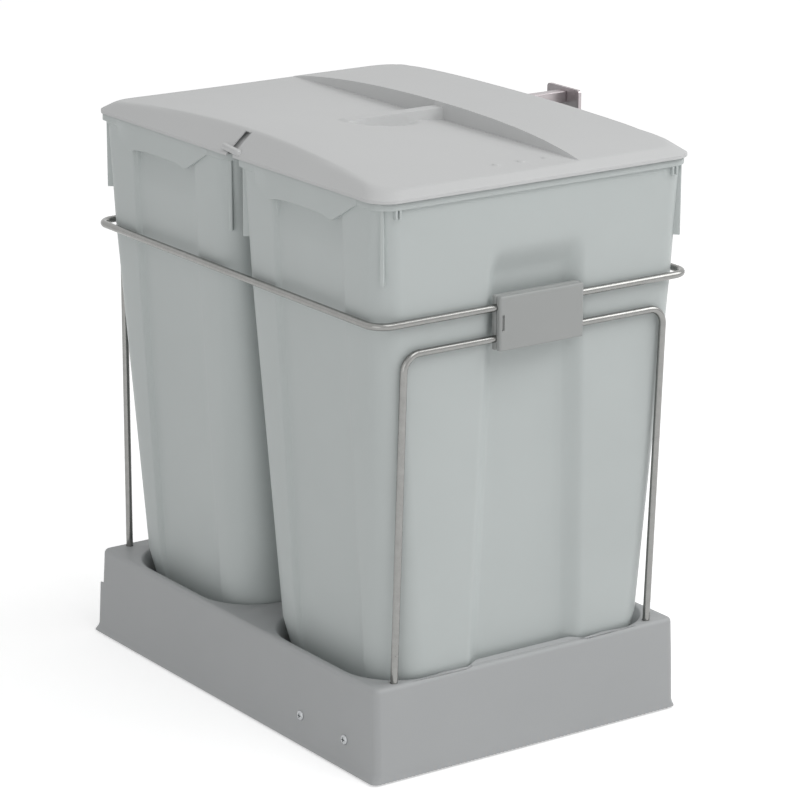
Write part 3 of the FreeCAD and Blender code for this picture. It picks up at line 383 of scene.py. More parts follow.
def bucketRing(rise, grow, middle, settings, sizes=None, hollows=("wide", "narrow")):
    width, depth, corner = sizes or interpRow(rise, settings["levels"])
    corner = max(1.0, corner + grow)
    halfX = width / 2 + grow
    halfY = depth / 2 + grow
    z = settings["base"] + rise

    def columns(form, flat):
        wide, floor = hollowSpan(rise, form, grow, settings)
        side = list(np.linspace(0, floor, settings["columnsOnFloor"], endpoint=False)[1:])
        side += list(np.linspace(floor, wide, settings["columnsOnFlank"]))
        side += [wide + more for more in settings["columnsBeyond"]]
        side = np.array(side) * min(1.0, (flat - 1.0) / side[-1])
        return np.concatenate([-side[::-1], [0.0], side])

    alongX = columns(settings["groove"], halfX - corner)
    alongY = columns(settings["panel"], halfY - corner)
    dentX = hollowDepth(rise, alongX, "wide", settings["groove"], grow, settings) * ("wide" in hollows)
    dentY = hollowDepth(rise, alongY, "narrow", settings["panel"], grow, settings) * ("narrow" in hollows)
    arcs = cornerArcs(-halfX, halfX, -halfY, halfY, corner, settings["cornerSteps"])
    ring = [*arcs[0], *zip(alongX, -halfY + dentX), *arcs[1], *zip(halfX - dentY, alongY),
            *arcs[2], *zip(alongX[::-1], (halfY - dentX)[::-1]),
            *arcs[3], *zip((-halfX + dentY)[::-1], alongY[::-1])]
    return [(x, y + middle, z) for x, y in ring]


def bucketShell(middle, settings):
    top = settings["height"]
    under = top - settings["rimTall"]
    soft = settings["rimRound"]
    rings = [bucketRing(rise, 0.0, middle, settings) for rise in settings["outsideRises"]]
    rings.append(bucketRing(under, 0.0, middle, settings))
    # about where the rounding crosses its diagonal
    bend = soft * 0.3
    for rise, grow in ((under, -soft / 2), (under + soft / 2, 0.0), (top - soft, 0.0), (top - bend, -bend),
                       (top, -soft)):
        rings.append(bucketRing(rise, grow, middle, settings, settings["rim"], ()))
    wall, shin = settings["wall"], settings["levels"][3][0]
    rings.append(bucketRing(top, -wall + soft, middle, settings))
    rings.append(bucketRing(top - soft, -wall, middle, settings))
    for rise in reversed(settings["outsideRises"]):
        lifted = bucketRing(rise, -wall, middle, settings)
        if rise < shin:
            share = 1 - rise / shin
            lifted = [(x, y, z + wall * share) for x, y, z in lifted]
        rings.append(lifted)
    return bridgeRings(rings)


def gripShell(side, middle, settings):
    outer = settings["rimHalf"]
    inner = outer - settings["gripThick"]
    top = settings["base"] + settings["height"] - settings["rimRound"]
    under = settings["base"] + settings["height"] - settings["rimTall"]
    reach = [row[0] for row in settings["grip"]]
    drops = [row[1] for row in settings["grip"]]
    edge = settings["gripEdge"]
    fadeStart, fadeEnd, fade = settings["gripFade"]
    rings = []
    for along in np.linspace(reach[0], reach[-1], settings["gripColumns"]):
        spread = [float(np.interp(along + step, reach, drops)) for step in settings["gripSmooth"]]
        low = under - sum(spread) / len(spread)
        lip = low + edge
        face = outer - fade * float(ramp(along, fadeStart, fadeEnd))
        profile = [(outer, top), (outer, max(under, lip)), (face, max(under - settings["gripBrow"], lip)),
                   (face, lip), (face - edge, low), (inner - edge, low), (inner - 2 * edge, lip),
                   (inner - 2 * edge, top)]
        rings.append([(side * x, middle + along, z) for x, z in profile])
    return bridgeRings(rings)


def ribShell(side, end, middle, settings):
    rimY, corner = settings["rim"][1] / 2, settings["rim"][2]
    spotX, spotY = side * (settings["rimHalf"] - corner), middle + end * (rimY - corner)
    half, edge = settings["ribThick"] / 2, settings["ribEdge"]
    under = settings["base"] + settings["height"] - settings["rimTall"]
    out = Vector((side, end, 0)).normalized()
    across = Vector((-out.y, out.x, 0))
    rings = []
    heights = (under - settings["ribTall"], under + settings["overlap"])
    for height, (start, reach) in zip(heights, settings["ribReach"]):
        outline = [(start, -half), (reach - edge, -half), (reach, -half + edge), (reach, half - edge),
                   (reach - edge, half), (start, half)]
        rings.append([tuple(Vector((spotX, spotY, height)) + out * u + across * v) for u, v in outline])
    return bridgeRings(rings)


def bucketTrims(middle, settings):
    shells = []
    rimX, rimY = settings["rimHalf"], settings["rim"][1] / 2
    neck = settings["levels"][5]
    under = settings["base"] + settings["height"] - settings["rimTall"]
    for side in (-1, 1):
        shells.append(gripShell(side, middle, settings))
        for end in (-1, 1):
            shells.append(ribShell(side, end, middle, settings))
            for index in range(2):
                edge = rimX - settings["gussetInset"] - index * settings["gussetSpacing"]
                xs = sorted((side * (edge - settings["gussetThick"]), side * edge))
                ys = sorted((end * (neck[2] / 2 - settings["gussetSink"]),
                             end * (rimY - settings["gussetShy"])))
                shells.append(bevelBlock((xs[0], middle + ys[0], under - settings["gussetTall"]),
                                         (xs[1], middle + ys[1], under + settings["overlap"]),
                                         settings["gussetEdge"], segments=2))
    return shells


for bucketName, bucketMiddle in bucketSettings["middles"].items():
    shells = [bucketShell(bucketMiddle, bucketSettings)] + bucketTrims(bucketMiddle, bucketSettings)
    bucket = shellObject(bucketName + "_moulding", shells, "bucket", sharpAngle=40)
    handOver(bucket, "carriage", "bucket_plastic", bucketName)
print("buckets made")


# Tray
traySettings = {
    "top": 81.2,
    # drawn a little thinner than the solid's 3 mm
    "wall": 2.4,
    "corner": 6.0,
    # height, half width, front, back
    "skirt": ((2.0, 155.5, -221.3, 221.3), (4.0, 154.5, -221.3, 220.3), (6.0, 153.5, -221.25, 219.3),
              (8.0, 152.85, -221.2, 218.65), (10.0, 152.65, -221.1, 218.4), (47.2, 152.35, -219.9, 215.6),
              (48.0, 152.35, -219.88, 214.6), (48.3, 152.35, -219.86, 211.0),
              (49.2, 152.34, -219.82, 210.2), (50.5, 152.33, -219.78, 210.1)),
    "edgeHigh": (152.0, -218.5, 207.9),
    "edgeRound": 4.2,
    "edgeSteps": 8,
    "frontColumns": 9,
    "sideColumns": 12,
    "backColumns": (60, 20, -20, -60),
    "cornerGap": 0.8,
    "cornerSteps": 14,
    "wellGrow": 2.0,
    "wellRises": (59.2, 58.6, 57.4, 50, 42, 34, 30, 26, 18, 10, 5, 0.5, 0),
    "wellLip": (1.2, 0.5, 0.0),
    # how far the edge of a well stands above the deck where it keys into a bucket's groove
    "keyLift": 2.2,
    # rise over which that lift comes in, and the least depth of groove that it is shared out over
    "keyRun": 12.0,
    "keyLeast": 0.1,
    # rise, width, depth and corner of the well where it opens towards the deck
    "mouth": (62.2, 290, 182.05, 48),
    "socketSpots": ((128.5, -210.3), (128.5, 199.5)),
    "socketRadius": 3.4,
    "socketDeep": 15.0,
    "socketSides": 20,
    # notches in the back wall: inner side, inset from the tray's side, top, and the y where they start
    "notch": (96.7, 1.55, 50.5, 196.0),
    "sharp": 35,
}


def trayRing(height, halfX, front, back, corner, settings):
    notchIn = settings["notch"][0]
    flatX = halfX - corner
    gap, count = settings["cornerGap"], settings["sideColumns"]
    frontCount = settings["frontColumns"]
    across = [-flatX + flatX * 2 * k / frontCount for k in range(1, frontCount)]
    behind = [flatX - gap, notchIn, *settings["backColumns"], -notchIn, gap - flatX]
    along = [front + corner + (back - front - 2 * corner) * k / count for k in range(1, count)]
    arcs = cornerArcs(-halfX, halfX, front, back, corner, settings["cornerSteps"])
    ring = [*arcs[0], *((x, front) for x in across), *arcs[1], *((halfX, y) for y in along),
            *arcs[2], *((x, back) for x in behind), *arcs[3], *((-halfX, y) for y in reversed(along))]
    return [(x, y, height) for x, y in ring]


def wellRings(middle, settings):
    rings = []
    rises = settings["wellRises"]
    lips = list(settings["wellLip"]) + [0.0] * len(rises)
    levels = bucketSettings["levels"][:3] + (settings["mouth"],)
    for rise, lip in zip(rises, lips):
        grow = settings["wellGrow"] + lip
        sizes = interpRow(rise, levels)
        ring = bucketRing(rise, grow, middle, bucketSettings, sizes, ("wide",))
        straight = bucketRing(rise, grow, middle, bucketSettings, sizes, ())
        deepest = max(abs(a[1] - b[1]) for a, b in zip(ring, straight))
        lift = settings["keyLift"] * float(ramp(rise, rises[0] - settings["keyRun"], rises[0]))
        lift /= max(deepest, settings["keyLeast"])
        rings.append([(a[0], a[1], a[2] + lift * abs(a[1] - b[1])) for a, b in zip(ring, straight)])
    return rings


def makeTray(settings):
    rings = [trayRing(*row, settings["corner"], settings) for row in settings["skirt"]]
    halfX, front, back = settings["edgeHigh"]
    bend = settings["edgeRound"]
    for step in range(settings["edgeSteps"] + 1):
        turn = math.pi / 2 * step / settings["edgeSteps"]
        inset = bend * (1 - math.cos(turn))
        height = settings["top"] - bend + bend * math.sin(turn)
        corner = settings["corner"] - inset
        rings.append(trayRing(height, halfX - inset, front + inset, back - inset, corner, settings))
    outerPoints, outerFaces = bridgeRings(rings, False, False)
    notchIn, notchInset, notchTop, notchStart = settings["notch"]
    heights = [row[0] for row in settings["skirt"]]
    halves = [row[1] for row in settings["skirt"]]

    def inNotch(face):
        spot = np.mean([outerPoints[index] for index in face], axis=0)
        notchOut = float(np.interp(spot[2], heights, halves)) - notchInset
        return spot[1] > notchStart and notchIn < abs(spot[0]) < notchOut and spot[2] < notchTop

    outerFaces = [face for face in outerFaces if not inNotch(face)]
    wells = [wellRings(middle, settings) for middle in bucketSettings["middles"].values()]
    turns = np.linspace(0, 2 * math.pi, settings["socketSides"], endpoint=False)
    radius = settings["socketRadius"]
    sockets = []
    for x, y in settings["socketSpots"]:
        for side in (-1, 1):
            sockets.append([(side * x + radius * math.cos(t), y + radius * math.sin(t), settings["top"])
                            for t in turns])
    loops = [rings[-1]] + [well[0] for well in wells] + sockets
    deckPoints = [Vector(point) for loop in loops for point in loop]
    deckFaces = tessellate_polygon([[Vector(point) for point in loop] for loop in loops])
    shells = [(outerPoints, outerFaces), ([tuple(p) for p in deckPoints], [tuple(f) for f in deckFaces])]
    shells += [bridgeRings(well, False, True) for well in wells]
    for socket in sockets:
        deep = [(x, y, z - settings["socketDeep"]) for x, y, z in socket]
        shells.append(bridgeRings([socket, deep], False, True))
    tray = shellObject("tray_moulding", shells, "tray", settings["sharp"])
    thicken(tray, settings["wall"], settings["sharp"])
    handOver(tray, "carriage", "tray_plastic", "tray")


makeTray(traySettings)
print("tray made")


# Lid
lidSettings = {
    "middle": -13.8,
    "halfX": 156.0,
    "halfY": 214.7,
    "corner": 20.0,
    "base": 477.6,
    "edge": 2.4,
    "crown": 497.8,
    "sag": 12.4,
    "sideRun": 24.0,
    "endRun": 30.0,
    "slopeRise": 20.8,
    "topCorner": 24.0,
    "wall": 1.1,
    "stepX": 53.0,
    # X, drop below the crown, sag left over
    "dip": ((-132.0, -0.1, 12.4), (-43.0, 5.3, 7.0), (53.0, 14.4, -3.4)),
    # how far the step bends left towards its two tips, over what half length, and to what each side
    "stepBend": (10.0, 198.0, 40.0),
    # crown right of the step, and its fall by the second and the fourth power of the way to the end
    "rightArch": (497.6, 6.5, 6.0),
    # how soft the top edge is along the ends and along the sides
    "soften": (0.7, 2.2),
    # distances in from the sides between which the one softness turns into the other
    "softenRun": (34.0, 14.0),
    "dipSoft": 0.6,
    # X where the ridge starts, its half width and the height of its top
    "ridge": (-43.0, 6.2, 493.6),
    "ridgeFlank": 0.9,
    "ridgeRun": 2.0,
    # X, y, half length, half width and depth of the finger scoop
    "scoop": (-7.0, -19.8, 34.0, 22.0, 6.4),
    "pips": ((-22.0, -196.0), (2.5, -196.0), (27.0, -196.0)),
    "pipRadius": 3.5,
    "pipEdge": 1.0,
    "pipTall": 0.9,
    # grid: size of a cell, and the closer lines at rim, sides, ends, step, ridge and pips
    "cell": 6.0,
    "rimLines": (0.0, 0.5, 1.0, 1.8, 3.0, 5.0, 7.5),
    "sideLines": (10, 12.5, 16.5, 18, 19.2, 20.2, 21.2, 22.4, 24, 26),
    "endLines": (8.5, 9.8, 11, 12, 13, 14, 15, 16.2, 18, 20),
    "stepLines": (-1.2, 0, 0.9, 1.8),
    "startLines": (-4, -2, 0, 2, 4),
    "flankLines": (-0.3, 0, 0.45, 0.9, 1.6),
    "pipLine": 1.17,
    "lineGap": 0.35,
    # what still counts as left of the step
    "touch": 0.01,
    "slotMiddle": -17.4,
    "slotHalf": 4.6,
    "slotX": 137.5,
    # two ribs beside the arm: start and end in X, near and far face from the middle, low and high
    "guide": (-134.0, -47.0, 5.4, 6.8, 478.4, 491.0),
    "guideEdge": 0.3,
    # X and height of the web behind the slot, at its foot and at its head, and its thickness
    "web": ((-151.0, 478.4), (-132.5, 494.5), 1.0),
    "webReach": (-6.0, 16.0),
    # tie bar across the foot of the slot: X, y and height of its back and front end, half thickness
    "tie": ((-154.5, -6.0, 484.6), (-154.5, -30.5, 482.4), 2.4),
    # way along the tie bar and its size there, with rounded ends
    "tieRings": ((0.0, 0.55), (0.03, 0.85), (0.08, 1.0), (0.92, 1.0), (0.97, 0.85), (1.0, 0.55)),
    "tieSides": 16,
    "sharp": 34,
}


# Height of the sloped skirt over each spot, found by halving the share at which the outline passes it
def lidSkirt(x, y, settings, limit=1.6, halvings=30):
    low = np.zeros_like(x)
    high = np.full_like(x, limit)
    for _ in range(halvings):
        share = (low + high) / 2
        halfX = settings["halfX"] - settings["sideRun"] * share
        halfY = settings["halfY"] - settings["endRun"] * share
        corner = settings["corner"] + (settings["topCorner"] - settings["corner"]) * share
        offX = np.abs(x) - halfX + corner
        offY = np.abs(y - settings["middle"]) - halfY + corner
        beyond = np.hypot(np.maximum(offX, 0), np.maximum(offY, 0))
        outside = beyond + np.minimum(np.maximum(offX, offY), 0) - corner
        inside = outside <= 1e-6
        low = np.where(inside, share, low)
        high = np.where(inside, high, share)
    return settings["base"] + settings["edge"] + settings["slopeRise"] * low


# The lower of two heights, with the crease between them rounded
def softLower(a, b, soft):
    share = np.clip(0.5 + 0.5 * (b - a) / soft, 0, 1)
    return b * (1 - share) + a * share - soft * share * (1 - share)


def stepShift(y, settings):
    bend, half, _ = settings["stepBend"]
    return -bend * ((y - settings["middle"]) / half) ** 2


def lidTop(x, y, settings):
    u = (y - settings["middle"]) / settings["halfY"]
    arch = settings["crown"] - settings["sag"] * u * u
    rightCrown, second, fourth = settings["rightArch"]
    rightArch = rightCrown - second * u ** 2 - fourth * u ** 4
    stepX = settings["stepX"] + stepShift(y, settings)
    xs, drops, sags = (np.array(column) for column in zip(*settings["dip"]))
    drop = np.polyval(np.polyfit(xs, drops, 2), np.clip(x, xs[0], xs[2]))
    sag = np.polyval(np.polyfit(xs, sags, 2), np.clip(x, xs[0], xs[2]))
    dip = settings["crown"] - drop - sag * u * u
    left = x <= stepX + settings["touch"]
    panel = np.where(left, softLower(arch, dip, settings["dipSoft"]), rightArch)
    start, half, ridgeTop = settings["ridge"]
    run = settings["ridgeRun"]
    wall = ramp(np.abs(y - settings["middle"]), half + settings["ridgeFlank"], half)
    onRidge = np.where(left, wall * ramp(x, start - run, start + run), 0)
    scoopX, scoopY, longX, longY, deep = settings["scoop"]
    bowl = np.clip(1 - ((x - scoopX) / longX) ** 2 - ((y - scoopY) / longY) ** 2, 0, 1)
    panel = panel - deep * bowl * bowl * (3 - 2 * bowl) * (x <= stepX) * (1 - wall)
    panel = np.where(onRidge > 0, np.maximum(panel, panel + (ridgeTop - panel) * onRidge), panel)
    for pipX, pipY in settings["pips"]:
        near = np.hypot(x - pipX, y - pipY)
        inner = settings["pipRadius"] - settings["pipEdge"]
        panel = panel + settings["pipTall"] * ramp(near, settings["pipRadius"], inner)
    ends, sides = settings["soften"]
    fromX, toX = (settings["halfX"] - inset for inset in settings["softenRun"])
    soft = ends + (sides - ends) * ramp(np.abs(x), fromX, toX)
    return softLower(panel, lidSkirt(x, y, settings), soft)


def gridLines(low, high, extra, settings):
    step = settings["cell"]
    lines = list(np.linspace(low, high, int(round((high - low) / step)) + 1))
    gap = settings["lineGap"] * step
    lines = [line for line in lines if all(abs(line - value) > gap for value in extra)]
    return np.array(sorted(lines + list(extra)))


def lidLines(settings):
    half, middle = settings["halfX"], settings["middle"]
    low, high = middle - settings["halfY"], middle + settings["halfY"]
    ridgeStart, ridgeHalf, _ = settings["ridge"]
    pipSteps = [k * settings["pipLine"] for k in range(-3, 4)]
    sides = settings["rimLines"] + settings["sideLines"]
    extraX = [side * (half - line) for side in (-1, 1) for line in sides]
    extraX += [settings["stepX"] + line for line in settings["stepLines"]]
    extraX += [ridgeStart + line for line in settings["startLines"]]
    extraX += [-settings["slotX"], settings["slotX"]]
    extraX += [pip[0] + step for pip in settings["pips"] for step in pipSteps]
    ends = settings["rimLines"] + settings["endLines"]
    extraY = [low + line for line in ends] + [high - line for line in ends]
    extraY += [middle + side * (ridgeHalf + line) for side in (-1, 1) for line in settings["flankLines"]]
    extraY += [settings["slotMiddle"] + side * settings["slotHalf"] for side in (-1, 1)]
    extraY += [settings["pips"][0][1] + step for step in pipSteps]
    return gridLines(-half, half, extraX, settings), gridLines(low, high, extraY, settings)


def slotWeb(settings):
    (lowX, lowZ), (highX, highZ), thick = settings["web"]
    ends = [settings["slotMiddle"] + reach for reach in settings["webReach"]]
    profile = [(lowX, lowZ), (highX, highZ), (highX + thick, highZ - thick), (lowX + thick, lowZ)]
    return bridgeRings([[(x, y, z) for x, z in profile] for y in ends])


def tieBar(settings):
    start, end, half = settings["tie"]
    turns = np.linspace(0, 2 * math.pi, settings["tieSides"], endpoint=False)
    outline = [[math.copysign(math.sqrt(abs(c)), c) for c in (math.cos(t), math.sin(t))] for t in turns]
    rings = []
    for share, size in settings["tieRings"]:
        x, y, z = (a + (b - a) * share for a, b in zip(start, end))
        rings.append([(x + half * size * across, y, z + half * size * up) for across, up in outline])
    return bridgeRings(rings)


def lidShell(settings):
    half, middle, corner = settings["halfX"], settings["middle"], settings["corner"]
    xs, ys = lidLines(settings)
    rows, columns = len(ys), len(xs)
    gridX, gridY = np.meshgrid(xs, ys)
    cornerX = (np.abs(gridX) - half + corner) / corner
    cornerY = (np.abs(gridY - middle) - settings["halfY"] + corner) / corner
    inCorner = (cornerX > 0) & (cornerY > 0)
    slant = np.maximum(np.hypot(cornerX, cornerY), 1e-9)
    pull = np.where(inCorner, np.maximum(cornerX, cornerY) / slant, 1.0)
    roundX = np.sign(gridX) * (half - corner + corner * cornerX * pull)
    roundY = middle + np.sign(gridY - middle) * (settings["halfY"] - corner + corner * cornerY * pull)
    planX = np.where(inCorner, roundX, gridX)
    planY = np.where(inCorner, roundY, gridY)
    nearStep = np.clip(1 - np.abs(gridX - settings["stepX"]) / settings["stepBend"][2], 0, 1)
    planX = planX + stepShift(planY, settings) * nearStep
    heights = lidTop(planX, planY, settings)
    points = [tuple(p) for p in np.stack([planX, planY, heights], -1).reshape(-1, 3)]

    def inSlot(x, y):
        return abs(y - settings["slotMiddle"]) < settings["slotHalf"] and x < -settings["slotX"]

    faces = []
    for row in range(rows - 1):
        for column in range(columns - 1):
            if not inSlot((xs[column] + xs[column + 1]) / 2, (ys[row] + ys[row + 1]) / 2):
                spot = row * columns + column
                faces.append((spot, spot + 1, spot + columns + 1, spot + columns))
    border = list(range(columns))
    border += [row * columns + columns - 1 for row in range(1, rows)]
    border += [(rows - 1) * columns + column for column in range(columns - 2, -1, -1)]
    border += [row * columns for row in range(rows - 2, 0, -1)]
    start, count = len(points), len(border)
    points += [(points[index][0], points[index][1], settings["base"]) for index in border]
    for k in range(count):
        after = (k + 1) % count
        first, second = points[border[k]], points[border[after]]
        if not inSlot(first[0], (first[1] + second[1]) / 2):
            faces.append((border[after], border[k], start + k, start + after))
    return points, faces


def makeLid(settings):
    lid = shellObject("lid_moulding", [lidShell(settings)], "lid", settings["sharp"], outward=False)
    thicken(lid, settings["wall"], settings["sharp"])
    start, end, near, far, low, high = settings["guide"]
    shells = []
    for side in (-1, 1):
        ys = sorted((settings["middle"] + side * near, settings["middle"] + side * far))
        shells.append(bevelBlock((start, ys[0], low), (end, ys[1], high), settings["guideEdge"], segments=1))
    shells += [slotWeb(settings), tieBar(settings)]
    guide = shellObject("lid_arm_guide", shells, "lid", sharpAngle=30)
    handOver(guide, "lid", "lid_plastic", "lid")
    handOver(lid, "lid", "lid_plastic", "lid")


makeLid(lidSettings)
print("lid made")


# Wire basket: bent wire that follows a path
wireSettings = {
    "diameter": 6.0,
    "ringHalf": 154.0,
    "ringFront": -223.9,
    "ringBack": 199.5,
    "ringHeight": 380.4,
    "ringBend": 15.0,
    "hoopHalf": 128.5,
    "hoopTop": 355.0,
    "hoopFoot": 63.2,
    "hoopBend": 14.0,
    # y at the foot and at the top bar
    "hoops": {"front_hoop": (-209.9, -223.3), "rear_hoop": (199.5, 199.5)},
    "sides": 24,
    "bendSteps": 10,
}


def wireTree(finish):
    tree = bpy.data.node_groups.new("bentWire", "GeometryNodeTree")
    face = tree.interface
    face.new_socket("Path", in_out="INPUT", socket_type="NodeSocketGeometry")
    sockets = {}
    for name, kind in (("Wire radius", "NodeSocketFloat"), ("Bend radius", "NodeSocketFloat"),
                       ("Sides", "NodeSocketInt"), ("Bend steps", "NodeSocketInt")):
        sockets[name] = face.new_socket(name, in_out="INPUT", socket_type=kind).identifier
    face.new_socket("Wire", in_out="OUTPUT", socket_type="NodeSocketGeometry")
    given = addNode(tree, "NodeGroupInput").outputs
    bent = addNode(tree, "GeometryNodeFilletCurve", {"mode": "POLY"},
                   {"Curve": given["Path"], "Radius": given["Bend radius"], "Count": given["Bend steps"]})
    profile = addNode(tree, "GeometryNodeCurvePrimitiveCircle", links={"Resolution": given["Sides"],
                                                                      "Radius": given["Wire radius"]})
    tube = addNode(tree, "GeometryNodeCurveToMesh", {"Fill Caps": True},
                   {"Curve": bent.outputs["Curve"], "Profile Curve": profile.outputs["Curve"]})
    real = addNode(tree, "GeometryNodeRealizeInstances", links={"Geometry": tube.outputs["Mesh"]})
    coat = addNode(tree, "GeometryNodeSetMaterial", {"Material": finishes[finish]},
                   {"Geometry": real.outputs["Geometry"]})
    addNode(tree, "NodeGroupOutput", links={"Wire": coat.outputs["Geometry"]})
    return tree, sockets


def bentWire(name, points, closed, bend, tree, sockets, settings):
    curve = bpy.data.curves.new(name, "CURVE")
    curve.dimensions = "3D"
    spline = curve.splines.new("POLY")
    spline.points.add(len(points) - 1)
    for place, point in zip(spline.points, points):
        place.co = [c * mm for c in point] + [1.0]
    spline.use_cyclic_u = closed
    path = bpy.data.objects.new(name + "_path", curve)
    scene.collection.objects.link(path)
    made = path.modifiers.new("bentWire", "NODES")
    made.node_group = tree
    made[sockets["Wire radius"]] = settings["diameter"] / 2 * mm
    made[sockets["Bend radius"]] = bend * mm
    made[sockets["Sides"]] = settings["sides"]
    made[sockets["Bend steps"]] = settings["bendSteps"]
    depsgraph = bpy.context.evaluated_depsgraph_get()
    mesh = bpy.data.meshes.new_from_object(path.evaluated_get(depsgraph))
    bpy.data.objects.remove(path)
    return dressObject(name, mesh, "wire", sharpAngle=50)


def makeWires(settings):
    tree, sockets = wireTree("wire")
    half, height = settings["ringHalf"], settings["ringHeight"]
    front, back = settings["ringFront"], settings["ringBack"]
    corners = [(-half, front, height), (half, front, height), (half, back, height), (-half, back, height)]
    ring = bentWire("basket_ring_wire", corners, True, settings["ringBend"], tree, sockets, settings)
    handOver(ring, "carriage", "wire_steel", "basket_ring")
    half = settings["hoopHalf"]
    for name, (footY, barY) in settings["hoops"].items():
        points = [(-half, footY, settings["hoopFoot"]), (-half, barY, settings["hoopTop"]),
                  (half, barY, settings["hoopTop"]), (half, footY, settings["hoopFoot"])]
        hoop = bentWire(name + "_wire", points, False, settings["hoopBend"], tree, sockets, settings)
        handOver(hoop, "carriage", "wire_steel", name)


makeWires(wireSettings)
print("wires bent")


# Snap clips: a cover and a back pressed together over the two bars
clipSettings = {
    "halfX": 41.5,
    "low": 345.4,
    "high": 390.0,
    "coverDeep": 6.0,
    "backDeep": 5.0,
    "seam": 0.25,
    "round": 1.7,
    "backRound": 1.0,
    # left, right, low, high and depth of the latch slot
    "latch": (-39.4, -36.9, 362.2, 375.0, 1.6),
    "latchEdge": 0.1,
    "overrun": 2.0,
    # square millimetres from which a face stays flat
    "flatArea": 60.0,
    "sharp": 40,
}


def makeClip(word, end, ringY, settings):
    half, low, high = settings["halfX"], settings["low"], settings["high"]

    def plate(near, far, bevel):
        ys = sorted((ringY + end * near, ringY + end * far))
        return bevelBlock((-half, ys[0], low), (half, ys[1], high), bevel)

    face, seam, sharp = settings["coverDeep"], settings["seam"], settings["sharp"]
    front = plate(seam, face, settings["round"])
    cover = shellObject(word + "_clip_cover_moulding", [front], "clip", sharp)
    left, right, bottom, top, deep = settings["latch"]
    ys = sorted((ringY + end * (face - deep), ringY + end * (face + settings["overrun"])))
    carve(cover, bevelBlock((left, ys[0], bottom), (right, ys[1], top), settings["latchEdge"], segments=1))
    flattenWide(cover, settings["flatArea"])
    handOver(cover, "carriage", "clip_plastic", word + "_clip_cover")
    behind = plate(-settings["backDeep"], -seam / 2, settings["backRound"])
    back = shellObject(word + "_clip_back_moulding", [behind], "clip", sharp)
    flattenWide(back, settings["flatArea"])
    handOver(back, "carriage", "clip_plastic", word + "_clip_back")


makeClip("front", -1, wireSettings["ringFront"], clipSettings)
makeClip("rear", 1, wireSettings["ringBack"], clipSettings)
print("clips made")


# Lid arm
armSettings = {
    "low": (-42.0, -18.8, 482.4),
    "high": (184.0, -8.8, 492.4),
    "edge": 0.9,
    "flatArea": 60.0,
}

bar = bevelBlock(armSettings["low"], armSettings["high"], armSettings["edge"])
arm = shellObject("lid_arm_bar", [bar], "arm", sharpAngle=40)
flattenWide(arm, armSettings["flatArea"])
handOver(arm, "cabinet_fixed", "arm_steel", "lid_arm")
print("arm made")


# Screws through the tray's sides: one head, repeated at each spot
screwSettings = {
    "face": 152.0,
    "headRadius": 4.3,
    "headTall": 2.2,
    "recess": 2.3,
    "recessWide": 0.55,
    # taper of the recess, and its floor as a share of the head
    "recessFloor": (0.8, 0.35),
    "around": 32,
    # shares of the radius and of the height, from the rim to the crown
    "profile": ((0.98, 0.0), (1.0, 0.25), (0.97, 0.62), (0.86, 0.88), (0.7, 0.98), (0.62, 1.0)),
    "spots": ((-175.5, 26.6), (-111.5, 26.6)),
}


def screwHead(settings):
    radius, tall = settings["headRadius"], settings["headTall"]
    arms, wide = settings["recess"], settings["recessWide"]
    turns = [2 * math.pi * k / settings["around"] for k in range(settings["around"])]
    rings = []
    for share, height in settings["profile"]:
        reach = radius * share
        rings.append([(reach * math.cos(t), reach * math.sin(t), tall * height) for t in turns])
    cross = []
    for turn in turns:
        quarter = (turn + math.pi / 4) % (math.pi / 2) - math.pi / 4
        reach = min(arms, wide / max(abs(math.sin(quarter)), 1e-6)) if abs(quarter) > 1e-6 else arms
        cross.append((reach * math.cos(turn), reach * math.sin(turn), tall))
    rings.append(cross)
    taper, floor = settings["recessFloor"]
    rings.append([(x * taper, y * taper, tall * floor) for x, y, _ in cross])
    return bridgeRings(rings)


def spotTree(head, finish):
    tree = bpy.data.node_groups.new("headsOnSpots", "GeometryNodeTree")
    face = tree.interface
    face.new_socket("Spots", in_out="INPUT", socket_type="NodeSocketGeometry")
    turn = face.new_socket("Turn", in_out="INPUT", socket_type="NodeSocketRotation").identifier
    face.new_socket("Heads", in_out="OUTPUT", socket_type="NodeSocketGeometry")
    given = addNode(tree, "NodeGroupInput").outputs
    source = addNode(tree, "GeometryNodeObjectInfo", {"Object": head})
    placed = addNode(tree, "GeometryNodeInstanceOnPoints", links={"Points": given["Spots"],
                     "Instance": source.outputs["Geometry"], "Rotation": given["Turn"]})
    real = addNode(tree, "GeometryNodeRealizeInstances", links={"Geometry": placed.outputs["Instances"]})
    coat = addNode(tree, "GeometryNodeSetMaterial", {"Material": finishes[finish]},
                   {"Geometry": real.outputs["Geometry"]})
    addNode(tree, "NodeGroupOutput", links={"Heads": coat.outputs["Geometry"]})
    return tree, turn


def makeScrews(settings):
    head = shellObject("screwHead", [screwHead(settings)], "fastener", sharpAngle=35)
    tree, turn = spotTree(head, "fastener")
    for side, word in ((-1, "left"), (1, "right")):
        spots = bpy.data.meshes.new("screwSpots_" + word)
        places = [(side * settings["face"] * mm, y * mm, z * mm) for y, z in settings["spots"]]
        spots.from_pydata(places, [], [])
        item = bpy.data.objects.new("tray_screw_heads_" + word, spots)
        scene.collection.objects.link(item)
        made = item.modifiers.new("headsOnSpots", "NODES")
        made.node_group = tree
        made[turn] = (0.0, side * math.pi / 2, 0.0)
        bakeModifiers(item)
        handOver(item, "carriage", "fastener_steel", "tray_screws_" + word)
    bpy.data.objects.remove(head)


makeScrews(screwSettings)
print("screws placed")


# Nodes that keep their own shape take a finish
nodeFinishes = {
    "slide_outer": "slide",
    "slide_middle": "slide",
    "slide_inner": "slide",
    "floor_bracket": "slide",
    "outer_cage": "cage",
    "inner_cage": "cage",
    "bracket_rivets": "fastener",
    "arm_plate": "arm",
}

